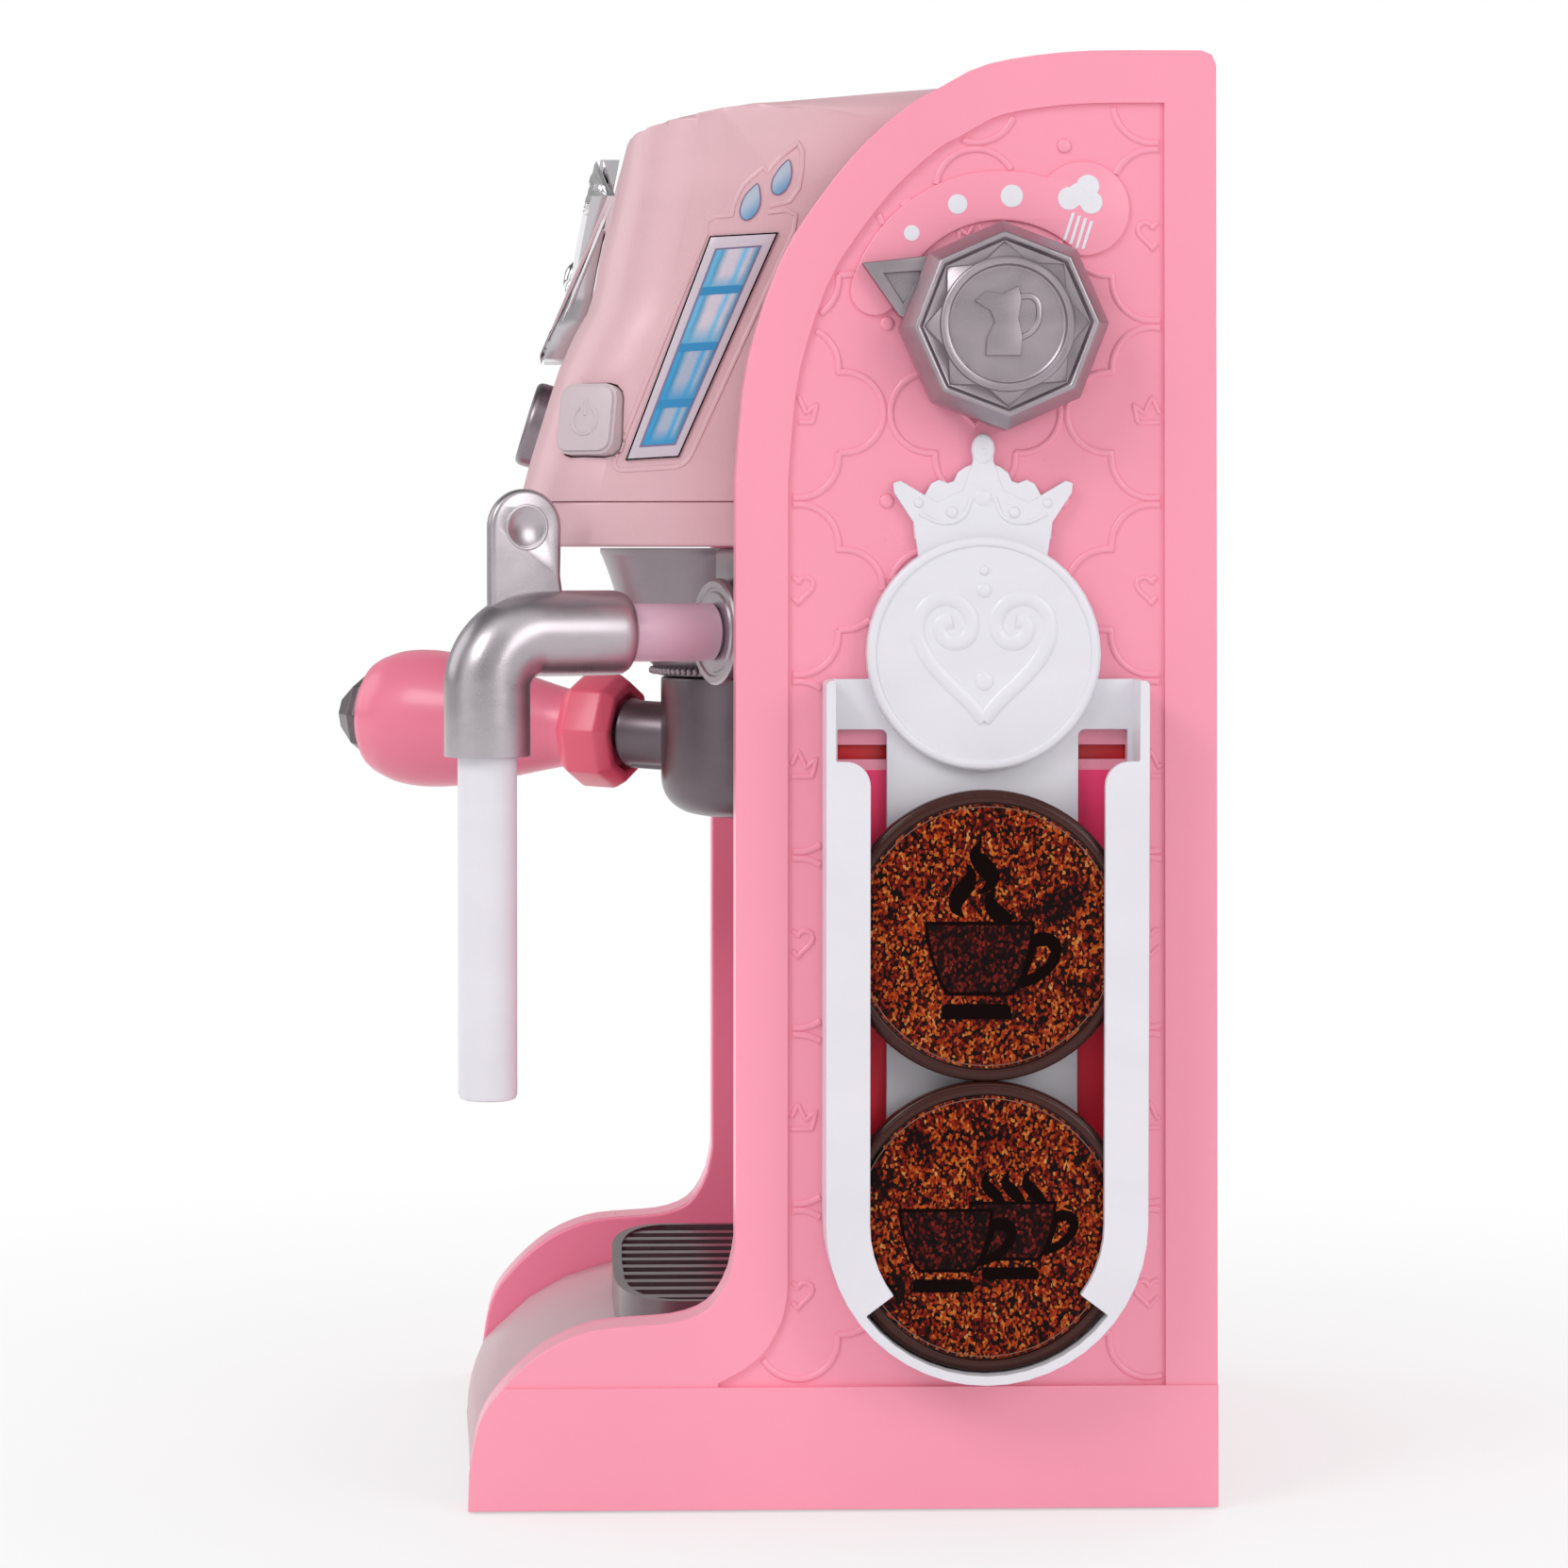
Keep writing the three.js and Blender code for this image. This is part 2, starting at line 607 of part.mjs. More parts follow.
// Drip tray: a rim with a bowed front, bars from front to back, and a pan under them.
function dripTray() {
  const trayHalfWidth = bayX - traySideRoom;
  const trayBack = columnFront - trayBackRoom;
  const trayFront = frontY + traySetBack;
  const bowSteps = 16;
  const front = Array.from({ length: bowSteps + 1 }, (unused, i) => {
    const turn = (Math.PI * i) / bowSteps;
    const share = -Math.sign(Math.cos(turn)) * Math.sqrt(Math.abs(Math.cos(turn)));
    return point(share * trayHalfWidth, trayFront + trayBow * (1 - Math.sin(turn)));
  });
  const outline = [...front, point(trayHalfWidth, trayBack), point(-trayHalfWidth, trayBack)];
  const low = deckTop + gap;
  const top = low + trayRise;
  const mouth = alongZ(inset(outline, wall), low - overrun, top + overrun);
  const rim = without(alongZ(outline, low, top), mouth);
  const pitch = (2 * trayHalfWidth) / (slatCount + 1);
  const slats = Array.from({ length: slatCount }, (unused, i) => {
    const x = (i + 1) * pitch - trayHalfWidth;
    return box(
      x - slatWidth / 2, x + slatWidth / 2, trayFront, trayBack - wall / 2,
      top - slatSunk - slatThickness, top - slatSunk,
    );
  });
  const bars = common(joined(...slats), alongZ(inset(outline, wall / 2), low, top));
  piece("drip_grille", joined(rim, bars), pewter);
  const panTop = top - slatSunk - slatThickness - gap;
  const pan = without(
    alongZ(inset(outline, wall + gap), low, panTop),
    alongZ(inset(outline, 2 * wall), low + wall / 2, panTop + overrun),
  );
  piece("drip_pan", pan, pewter);
}

// Column and rear cover
const columnTop = headBottom - gap;
const coverScrewX = bayX - 2.6 * postHalf;
const coverScrewZs = [0.24 * height, 0.56 * height];
const switchX = 0.5 * bayX;
const switchZ = 0.35 * height;

// A screw driven forwards through the rear cover.
function screwForward(x, z) {
  const turn = new THREE.Matrix4().makeRotationX(Math.PI / 2);
  return placed(screwUp(0, 0, 0), turn).translate([x, coverBackY + gap + screwHeadHeight, z]);
}

function column() {
  const low = deckTop + gap;
  const inside = bayX - wall;
  const outline = [
    point(-bayX, columnFront), point(bayX, columnFront), point(bayX, inwardEndY), point(inside, inwardEndY),
    point(inside, columnFront + wall), point(-inside, columnFront + wall),
    point(-inside, inwardEndY), point(-bayX, inwardEndY),
  ];
  const corners = coverScrewZs.flatMap((z) => [-1, 1].map((side) => [side, z]));
  const posts = corners.map(([side, z]) => box(
    Math.min(side * (coverScrewX - postHalf), side * (bayX - wall / 2)),
    Math.max(side * (coverScrewX - postHalf), side * (bayX - wall / 2)),
    inwardEndY - 1.3 * screwLength, inwardEndY, z - postHalf, z + postHalf,
  ));
  const holes = corners.map(([side, z]) => (
    rodY(screwRadius + gap, inwardEndY - screwLength, inwardEndY + overrun, side * coverScrewX, z, 12)
  ));
  const boardPegs = [-1, 1].map((side) => (
    rodY(postHalf, columnFront + wall / 2, boardY - gap, side * 0.7 * boardHalfX, boardZ, 12)
  ));
  const shell = joined(alongZ(outline, low, columnTop), ...posts, ...boardPegs);
  piece("column", without(shell, ...holes), hotPink);
  corners.forEach(([side, z], i) => {
    piece(`rear_screw_${i + 1}`, screwForward(side * coverScrewX, z), zinc);
  });
}

const coverTop = headRoof - gap;
const coverSlotShares = [-0.8, -0.4, 0, 0.4, 0.8];

function rearCover() {
  const low = basePlateThickness + gap;
  const halfHeight = (coverTop - low) / 2;
  const outline = roundedBox(bayX, halfHeight, rearCorner).map((p) => point(p.x, p.y + low + halfHeight));
  const slots = coverSlotShares.map((share) => {
    const reach = 0.7 * speakerRadius * Math.sqrt(1 - share ** 2 / 2);
    const x = 0.8 * share * speakerRadius;
    return box(x - wall / 2, x + wall / 2, coverFrontY - overrun, rearY, speakerZ - reach, speakerZ + reach);
  });
  const switchSlot = box(
    switchX - sliderSize / 2 - gap, switchX + sliderSize / 2 + gap, coverFrontY - overrun, rearY,
    switchZ - sliderSize / 2 - gap, switchZ + sliderSize / 2 + switchSlotTravel + gap,
  );
  const holes = coverScrewZs.flatMap((z) => [-1, 1].map((side) => (
    rodY(screwRadius + gap, coverFrontY - overrun, rearY, side * coverScrewX, z, 12)
  )));
  const panel = alongY(outline, coverFrontY, coverBackY);
  piece("rear_cover", without(panel, ...slots, switchSlot, ...holes), hotPink);
}

// Circuit board, speaker and power switch
const boardHalfX = 0.45 * bayX;
const boardHalfZ = 0.3 * bayX;
const boardThickness = 1.6;
const boardY = columnFront + 3 * wall;
const boardZ = 0.42 * height;

function electronics() {
  const board = box(
    -boardHalfX, boardHalfX, boardY, boardY + boardThickness, boardZ - boardHalfZ, boardZ + boardHalfZ,
  );
  piece("circuit_board", board, boardGreen);
  const back = coverFrontY - gap;
  const cone = [
    [0, 0], [0.45 * speakerRadius, 0], [0.5 * speakerRadius, 0.5 * speakerDepth],
    [speakerRadius, 0.8 * speakerDepth], [speakerRadius, speakerDepth], [0, speakerDepth],
  ];
  const speaker = placed(turned(cone, 24), layY).translate([0, back - speakerDepth, speakerZ]);
  piece("speaker", speaker, sootBlack);
  const bodyFront = back - 1.6 * sliderSize;
  const body = box(
    switchX - sliderSize, switchX + sliderSize, bodyFront, back - 0.4 * sliderSize,
    switchZ - sliderSize, switchZ + sliderSize + switchSlotTravel,
  );
  const ears = box(
    switchX - 1.5 * sliderSize, switchX + 1.5 * sliderSize, back - 0.4 * sliderSize - gap, back,
    switchZ - 1.6 * sliderSize, switchZ - sliderSize,
  );
  const cheek = box(
    switchX - 1.5 * sliderSize, switchX + 1.5 * sliderSize, back - 0.9 * sliderSize, back - 0.4 * sliderSize,
    switchZ - 1.6 * sliderSize, switchZ + sliderSize,
  );
  piece("power_switch_body", joined(body, cheek, ears), sootBlack);
  const slider = box(
    switchX - sliderSize / 2, switchX + sliderSize / 2,
    back - 0.4 * sliderSize + gap, coverBackY + 0.2 * sliderSize,
    switchZ - sliderSize / 2, switchZ + sliderSize / 2,
  );
  piece("power_switch_slider", slider, sootBlack);
}

// Head

// The head seen from the side, from its front foot up to the brow, in shares of its reach and height.
const browShares = [
  [1, 0], [0.9986, 0.066], [0.9928, 0.132], [0.9447, 0.3523], [0.9325, 0.397], [0.9138, 0.4558],
  [0.8872, 0.5279], [0.87, 0.6548], [0.8441, 0.8325],
];
// The roof from the brow back to the rear cover.
const roofShares = [
  [0.8369, 0.863], [0.824, 0.8843], [0.79, 0.9046], [0.7083, 0.9249], [0.6157, 0.9452], [0.4483, 0.9645],
  [0.3, 0.9848], [0, 1],
];
const headReach = headFront - inwardEndY;
const brow = smoothed(spread(browShares, inwardEndY, headBottom, headReach, headHeight), 14);
const roof = smoothed(spread(roofShares, inwardEndY, headBottom, headReach, headHeight), 13);
const cornerEnd = cornerStart + cornerRadius;

// How far the front has swept back at a distance from the middle.
function sweep(x) {
  if (x <= cornerStart) return 0;
  if (x <= cornerEnd) return cornerRadius - Math.sqrt(cornerRadius ** 2 - (x - cornerStart) ** 2);
  return cornerRadius + ((x - cornerEnd) / (bayX - cornerEnd)) * (cheekStart - cornerRadius);
}

// How far the roof has rolled down at a distance from the middle.
function roll(x) {
  const over = Math.max(x - (bayX - roofRound), 0);
  return roofRound - Math.sqrt(Math.max(roofRound ** 2 - over ** 2, 0));
}

const headStations = [
  0, 0.5 * cornerStart, cornerStart,
  ...arc(cornerStart, 0, cornerRadius, 75, 0, 5).map((p) => p.x),
  ...arc(bayX - roofRound, 0, roofRound, 60, 0, 3).map((p) => p.x),
];

// The head as a solid, drawn in by a distance on every side but its foot and its back.
function headBlock(drawnIn) {
  const limit = brow.at(-1).x;
  const stations = [...headStations.slice(1).map((x) => -x).reverse(), ...headStations];
  const rollFrom = brow.at(-1).y - 3 * roofRound;
  const rings = stations.map((x) => {
    const swept = sweep(Math.abs(x));
    const rolled = roll(Math.abs(x));
    const lowered = (z) => z - rolled * THREE.MathUtils.clamp((z - rollFrom) / (3 * roofRound), 0, 1);
    const front = brow.map((p) => point(p.x + swept, lowered(p.y)));
    const top = roof.map((p) => point(Math.max(p.x, limit + swept), lowered(p.y)));
    const outline = [point(inwardEndY + overrun, headBottom - overrun), ...front, ...top];
    outline.push(point(inwardEndY + overrun, top.at(-1).y));
    outline.splice(1, 0, point(front[0].x, headBottom - overrun));
    const narrow = (x * (bayX - drawnIn)) / bayX;
    return outline.map((p) => new THREE.Vector3(narrow, p.x + drawnIn, p.y - drawnIn));
  });
  return lofted(rings, (p) => point(p.y, p.z));
}

// A frame on the head's face: its origin on the face, Z outwards and Y up the face.
function faceFrame(x, z) {
  const above = brow.findIndex((p) => p.y > z);
  const [low, high] = [brow[above - 1], brow[above]];
  const lean = (high.x - low.x) / (high.y - low.y);
  const reach = Math.abs(x);
  const round = Math.max(reach - cornerStart, 0);
  const slope = round / Math.sqrt(cornerRadius ** 2 - round ** 2);
  const outwards = new THREE.Vector3(slope * Math.sign(x), -1, lean).normalize();
  const across = new THREE.Vector3().crossVectors(unitZ, outwards).normalize();
  const up = new THREE.Vector3().crossVectors(outwards, across);
  const matrix = new THREE.Matrix4().makeBasis(across, up, outwards);
  return matrix.setPosition(x, low.x + (z - low.y) * lean + sweep(reach), z);
}

const cornerButtonX = cornerStart + cornerRadius * Math.sin(THREE.MathUtils.degToRad(cornerButtonTurn));
const brewFrame = faceFrame(0, brewButtonZ);
const rightFrame = faceFrame(cornerButtonX, brewButtonZ);
const leftFrame = faceFrame(-cornerButtonX, brewButtonZ);
const stemEnd = -flangeDepth - flangeThickness - stemLength;
const switchFace = stemEnd - buttonTravel - gap;
const carrierFace = switchFace - switchThickness - gap;

// A cap that stands proud of the head, with a flange behind the head's wall and a stem.
function pressButton(cap, flange) {
  return joined(cap, flange, rod(stemRadius, stemEnd, -flangeDepth - flangeThickness / 2, 12));
}

function brewButton() {
  const cap = [
    [0, -flangeDepth - flangeThickness], [brewButtonRadius + flangeLip, -flangeDepth - flangeThickness],
    [brewButtonRadius + flangeLip, -flangeDepth], [brewButtonRadius, -flangeDepth],
    [brewButtonRadius, 0.8 * brewButtonProud], [0.88 * brewButtonRadius, brewButtonProud],
    [0.75 * brewButtonRadius, brewButtonProud], [0.7 * brewButtonRadius, 0.9 * brewButtonProud],
    [0, 0.9 * brewButtonProud],
  ];
  return joined(turned(cap, 28), rod(stemRadius, stemEnd, -flangeDepth - flangeThickness / 2, 12));
}

function cornerButton() {
  const outline = roundedBox(cornerButtonWide / 2, cornerButtonTall / 2, cornerButtonRound);
  const cap = joined(
    alongZ(outline, -flangeDepth - flangeThickness / 2, 0.8 * cornerButtonProud),
    alongZ(inset(outline, 0.2 * cornerButtonProud), 0, cornerButtonProud),
  );
  const flange = alongZ(inset(outline, -flangeLip), -flangeDepth - flangeThickness, -flangeDepth);
  return pressButton(cap, flange);
}

function headShells() {
  const outer = headBlock(0);
  const hollow = headBlock(wall);
  const low = headBottom - 2 * overrun;
  const above = box(-width, width, -depth, inwardEndY, headSeam, height);
  const below = box(-width, width, -depth, inwardEndY - wall, headBottom, headSeam - gap);
  const brewHole = rod(brewButtonRadius + hingePlay, -flangeDepth, brewButtonProud, 28);
  const cornerOutline = roundedBox(cornerButtonWide / 2, cornerButtonTall / 2, cornerButtonRound);
  const cornerHole = alongZ(inset(cornerOutline, -hingePlay), -flangeDepth, 2 * cornerButtonProud);
  const holes = [placed(brewHole, brewFrame), placed(cornerHole, rightFrame), placed(cornerHole, leftFrame)];
  const peg = rod(1.3 * stemRadius, carrierFace + gap, -wall / 2, 12);
  const pegs = [-1, 1].map((side) => placed(peg.translate([side * 2.4 * brewButtonRadius, 0, 0]), brewFrame));
  const shell = without(common(outer, above), hollow);
  piece("head_shell", joined(without(shell, ...holes), ...pegs), palePink);

  const innards = common(headBlock(2 * wall), box(-width, width, -depth, depth, headBottom + wall, height));
  const pan = without(common(headBlock(gap), below), innards);
  const cableWay = box(-0.3 * bayX, 0.3 * bayX, columnFront + 2 * wall, inwardEndY - 3 * wall, low, headSeam);
  piece("head_underside", without(pan, cableWay), palePink);
}

function headButtons() {
  const buttons = [
    ["brew_button", brewFrame, brewButton(), pewter],
    ["right_button", rightFrame, cornerButton(), pearlWhite],
    ["left_button", leftFrame, cornerButton(), pearlWhite],
  ];
  const half = switchSize / 2;
  const switchBlock = box(-half, half, -half, half, switchFace - switchThickness, switchFace);
  for (const [name, frame, made, material] of buttons) {
    const seat = new THREE.Group();
    seat.applyMatrix4(frame);
    coffeeMaker.add(seat);
    piece(name, made, material, seat);
    piece(name.replace("button", "switch"), switchBlock, sootBlack, seat);
  }
  const tall = carrierHeight / 2;
  const wing = box(-switchSize, switchSize, -tall, tall, carrierFace - carrierThickness, carrierFace);
  const reach = cornerStart + 0.15 * cornerRadius;
  const bridge = box(-reach, reach, -tall, tall, carrierFace - carrierThickness, carrierFace);
  const carrier = joined(placed(bridge, brewFrame), placed(wing, rightFrame), placed(wing, leftFrame));
  piece("switch_carrier", carrier, sootBlack);
}

// A generic crown with five points, in shares of its half width and its height.
const badgeShares = [
  [-0.72, 0], [0.72, 0], [0.8, 0.16], [0.78, 0.3], [1, 0.78], [0.62, 0.52], [0.5, 0.86], [0.22, 0.56], [0, 1],
  [-0.22, 0.56], [-0.5, 0.86], [-0.62, 0.52], [-1, 0.78], [-0.78, 0.3], [-0.8, 0.16],
];
const badgeFootShare = 0.136; // of the face between the brew button and the roof
const badgeTallShare = 0.608;
// The water gauge on the cheek, in shares of its run forward and its height.
const gaugeShares = [[0, 1], [0.44, 1], [1, 0], [0.66, 0]];
const gaugeTallShare = 0.519; // of the head above its seam

function headTrim() {
  const block = headBlock(-gap);
  const buttonTop = brewButtonZ + brewButtonRadius;
  const face = headRoof - buttonTop;
  const badgeFoot = buttonTop + badgeFootShare * face;
  const badgeOutline = spread(badgeShares, 0, badgeFoot, badgeHalfWidth, badgeTallShare * face);
  const badge = common(alongY(badgeOutline, -depth, 0), headBlock(-gap - badgeProud));
  piece("crown_badge", without(badge, block), chrome);
  const gaugeTall = gaugeTallShare * (headRoof - headSeam);
  const gaugeOutline = spread(
    gaugeShares, headFront + gaugeSetBack, headSeam + gaugeRise, -gaugeRun, gaugeTall,
  );
  const plate = without(common(alongX(gaugeOutline, 0, width), headBlock(-gap - gaugeProud)), block);
  piece("right_gauge", plate, gaugeBlue);
  piece("left_gauge", mirrored(plate), gaugeBlue);
}

// Group head and portafilter

const groupCeiling = groupRimZ + socketDepth;
const ringOuter = socketRadius - gap;
const ringInner = ringOuter - ringWidth;
const collarOuter = ringInner - hingePlay;
const collarInner = collarOuter - bowlCollarWall;
const ledge = 1.2; // the lip in the socket that the lock ring sits on
const bowlTop = groupRimZ - gap;
const bowlBottom = bowlTop - bowlDepth;

function groupHead() {
  const top = headBottom - gap;
  const profile = [
    [0, groupCeiling], [socketRadius, groupCeiling], [socketRadius, groupRimZ + ledge],
    [ringInner, groupRimZ + ledge], [ringInner, groupRimZ], [groupRimRadius, groupRimZ],
    [groupRimRadius + ledge, groupRimZ + ledge / 2], [groupRimRadius, groupRimZ + 1.5 * ledge],
    [0.95 * groupTopRadius, top - 4 * ledge], [groupTopRadius, top], [0, top],
  ];
  piece("group_head", turned(profile, 36).translate([0, groupY, 0]), pewter);
  const low = groupRimZ + ledge + gap;
  const ring = turned([[ringInner, low], [ringOuter, low], [ringOuter, low + ringHeight],
    [ringInner, low + ringHeight], [ringInner, low]], 32);
  const axis = new THREE.Group();
  axis.position.set(0, groupY, 0);
  coffeeMaker.add(axis);
  piece("lock_ring", ring, sootBlack, axis);
}

// The bowl's outside from its rim down to the middle of its foot, in shares of its radius and depth.
const bowlShares = [[1, 1], [1, 0.31], [0.94, 0.165], [0.8, 0.06], [0.56, 0]];
// The grip from its collar to its end, in shares of its radius and length.
const gripShares = [[0.56, 0], [0.57, 0.05], [0.72, 0.25], [0.9, 0.47], [1, 0.72], [0.93, 0.88], [0.6, 1]];
const spoutSplay = 24; // degrees

function portafilter() {
  const turn = new THREE.Group();
  turn.position.set(0, groupY, 0);
  turn.rotation.z = THREE.MathUtils.degToRad(-90 - handleTurn);
  coffeeMaker.add(turn);
  const outside = bowlShares.map(([out, up]) => [out * bowlRadius, bowlBottom + up * bowlDepth]);
  const profile = [
    [0, bowlBottom + bowlFloor], [collarInner, bowlBottom + bowlFloor], [collarInner, bowlTop + bowlCollar],
    [collarOuter, bowlTop + bowlCollar], [collarOuter, bowlTop], ...outside, [0, bowlBottom],
  ];
  const tilt = new THREE.Matrix4().makeRotationY(-THREE.MathUtils.degToRad(handleRise));
  tilt.setPosition(0, 0, groupRimZ - handleDrop);
  const lie = tilt.clone().multiply(layX);
  const neck = placed(rod(neckRadius, collarInner + bowlCollarWall, neckEnd - gap, 20), lie);
  const tang = placed(rod(tangRadius, neckEnd - neckRadius, 0.6 * handleEnd, 16), lie);
  piece("portafilter_bowl", joined(turned(profile, 36), neck, tang), pewter, turn);

  const collarEnd = neckEnd + handleCollarLength;
  const collar = turned([
    [0, neckEnd], [0.86 * handleCollarRadius, neckEnd],
    [handleCollarRadius, neckEnd + 0.2 * handleCollarLength],
    [handleCollarRadius, neckEnd + 0.8 * handleCollarLength],
    [0.8 * handleCollarRadius, collarEnd], [0, collarEnd],
  ], 8);
  const gripLength = handleEnd - collarEnd;
  const grip = turned([
    [0, neckEnd + handleCollarLength / 2], ...gripShares.map(([out, along]) => (
      [out * handleRadius, collarEnd + along * gripLength]
    )), [0, handleEnd],
  ], 24);
  const bore = rod(tangRadius + gap, neckEnd - overrun, 0.6 * handleEnd + gap, 16);
  const handle = without(joined(collar, grip), bore);
  piece("portafilter_handle", placed(handle, lie), hotPink, turn);
  const gemRadius = gripShares.at(-1)[0] * handleRadius;
  const gem = turned([
    [0, handleEnd + gap], [gemRadius, handleEnd + gap], [0.95 * gemRadius, handleEnd + 0.35 * capLength],
    [0.45 * gemRadius, handleEnd + capLength], [0, handleEnd + capLength],
  ], 8);
  piece("handle_cap", placed(gem, lie), pewter, turn);

  const root = bowlBottom - gap;
  const stem = rod(0.26 * bowlRadius, root - 0.4 * spoutDrop, root, 16);
  const leg = rod(0.15 * bowlRadius, -spoutDrop, 0, 12);
  const legs = [-1, 1].map((side) => {
    const lean = new THREE.Matrix4().makeRotationX(side * THREE.MathUtils.degToRad(spoutSplay));
    return placed(leg, lean).translate([0, 0, root - 0.15 * spoutDrop]);
  });
  const trimmed = common(joined(stem, ...legs), rod(bowlRadius, root - spoutDrop, root, 12));
  piece("portafilter_spout", trimmed, pewter, turn);
}

// Steam wand

// A tube of one radius along a run of points in the X, Z plane, with its rings square to the way.
function pipe(way, radius, sides) {
  const rings = way.map((here, i) => {
    const ahead = way[Math.min(i + 1, way.length - 1)].clone().sub(way[Math.max(i - 1, 0)]).normalize();
    return Array.from({ length: sides }, (unused, j) => {
      const turn = (2 * Math.PI * j) / sides;
      const out = radius * Math.cos(turn);
      return new THREE.Vector3(here.x - out * ahead.y, radius * Math.sin(turn), here.y + out * ahead.x);
    });
  });
  const circle = Array.from({ length: sides }, (unused, j) => {
    const turn = (2 * Math.PI * j) / sides;
    return point(radius * Math.cos(turn), radius * Math.sin(turn));
  });
  const places = new Map(rings.flatMap((ring) => ring.map((p, j) => [p, circle[j]])));
  return lofted(rings, (p) => places.get(p));
}

function steamWand() {
  const arm = new THREE.Group();
  arm.position.set(wandX, wandY, wandZ);
  arm.rotation.z = wandLean - Math.PI / 2;
  coffeeMaker.add(arm);
  const axialX = (radius, from, to, sides) => rodX(radius, from, to, 0, 0, sides);
  const spigotLength = 0.5 * bossLength;
  const spigotRadius = 0.78 * armRadius;
  const pedestalTop = headBottom - gap - wandZ;
  const pedestal = box(
    -0.8 * bossLength, -0.15 * bossLength, -0.7 * bossRadius, 0.7 * bossRadius, 0, pedestalTop,
  );
  const barrel = axialX(bossRadius, -bossLength, 0, 24);
  const flange = axialX(bossFlangeRadius, -wall, 0, 24);
  const bore = axialX(spigotRadius + hingePlay, -spigotLength - gap, overrun, 20);
  piece("steam_boss", without(joined(barrel, flange, pedestal), bore), pewter, arm);
  const tube = joined(
    axialX(armRadius, gap, elbowStart + socketGrip, 20),
    axialX(spigotRadius, -spigotLength, armRadius, 20),
  );
  piece("steam_arm", tube, pearlWhite, arm);
  const bendX = armReach - elbowBend;
  const bend = arc(bendX, -elbowBend, elbowBend, 90, 0, 8);
  const elbow = pipe([point(elbowStart, 0), ...bend, point(armReach, -elbowDrop)], elbowRadius, 20);
  const tabX = armReach - tabLength / 2 - gap;
  const tabRound = tabLength / 2;
  const tabOutline = [
    point(tabX - tabRound, 0), point(tabX + tabRound, -elbowBend / 2),
    ...arc(tabX, tabRise - tabRound, tabRound, 0, 180, 8),
  ];
  const upright = new THREE.Matrix4().makeRotationX(Math.PI / 2);
  const tab = placed(alongZ(tabOutline, -tabThickness / 2, tabThickness / 2), upright);
  const dimple = rodY(0.25 * tabLength, tabThickness / 4, tabThickness, tabX, tabRise - tabRound, 16);
  const armSocket = axialX(armRadius + gap, elbowStart - overrun, elbowStart + socketGrip + gap, 20);
  const nozzleSeat = -elbowDrop + socketGrip;
  const nozzleSocket = rodZ(nozzleRadius + gap, -elbowDrop - overrun, nozzleSeat + gap, armReach, 0, 20);
  piece("steam_elbow", without(joined(elbow, without(tab, dimple)), armSocket, nozzleSocket), pewter, arm);
  piece("steam_nozzle", rodZ(nozzleRadius, -nozzleDrop, nozzleSeat, armReach, 0, 20), pearlWhite, arm);
}

// Steam knob: an eight-sided knob with a pointer, a shaft through the panel and a clip behind it.
function steamKnob() {
  const seat = new THREE.Group();
  seat.position.set(fieldX + knobStandOff, knobY, knobZ);
  seat.quaternion.setFromRotationMatrix(sideways);
  coffeeMaker.add(seat);
  const tiltTurn = new THREE.Matrix4().makeRotationZ(THREE.MathUtils.degToRad(90 + knobTilt));
  const skirt = turned([
    [0, 0], [knobRadius, 0], [knobRadius, 0.55 * knobDepth], [0.82 * knobRadius, knobDepth], [0, knobDepth],
  ], 8);
  const face = knobDepth + knobBossProud;
  const boss = turned([
    [0, knobDepth / 2], [knobBossRadius, knobDepth / 2], [knobBossRadius, face],
    [knobDiscRadius, face], [knobDiscRadius, knobDepth], [0, knobDepth],
  ], 32);
  const pointerTurn = new THREE.Matrix4().makeRotationZ(THREE.MathUtils.degToRad(pointerAngle));
  const pointerOutline = [
    point(0, -pointerHalfWidth), point(0.62 * pointerReach, -pointerHalfWidth), point(pointerReach, 0),
    point(0.62 * pointerReach, pointerHalfWidth), point(0, pointerHalfWidth),
  ];
  const pointer = placed(alongZ(pointerOutline, 0, pointerThickness), pointerTurn);
  piece("steam_knob", joined(placed(skirt, tiltTurn), boss, pointer), pewter, seat);
  const throat = outerX - fieldX + knobStandOff;
  const innerFace = -knobStandOff - (wall - fieldDepth);
  const shaftEnd = innerFace - 2 * gap - 1.5 * wall;
  piece("steam_knob_shaft", rod(shaftRadius, shaftEnd, -gap, 20), sootBlack, seat);
  const clipRadius = shaftRadius + gap;
  const clipTop = innerFace - gap;
  const clipFoot = clipTop - wall;
  const clip = turned([
    [clipRadius, clipFoot], [clipRadius + throat, clipFoot], [clipRadius + throat, clipTop],
    [clipRadius, clipTop], [clipRadius, clipFoot],
  ], 20);
  piece("steam_knob_clip", clip, zinc, seat);
}

// Pod rack
const rackBack = fieldX + gap;
const podLowZ = rackFoot + rackWall + podPlay + podRadius;
const podHighZ = podLowZ + 2 * podRadius;
const podBack = rackBack + rackPlate + medallionRelief + 2 * gap;
const lipBack = podBack + podThickness + gap;
const rackFace = lipBack + lipThickness;

// A trough seen from the side: round at the foot, straight up to a level top.
function trough(half, top) {
  const foot = arc(rackY, rackFoot + rackHalf, half, 180, 360, 24);
  return [...foot, point(rackY + half, top), point(rackY - half, top)];
}

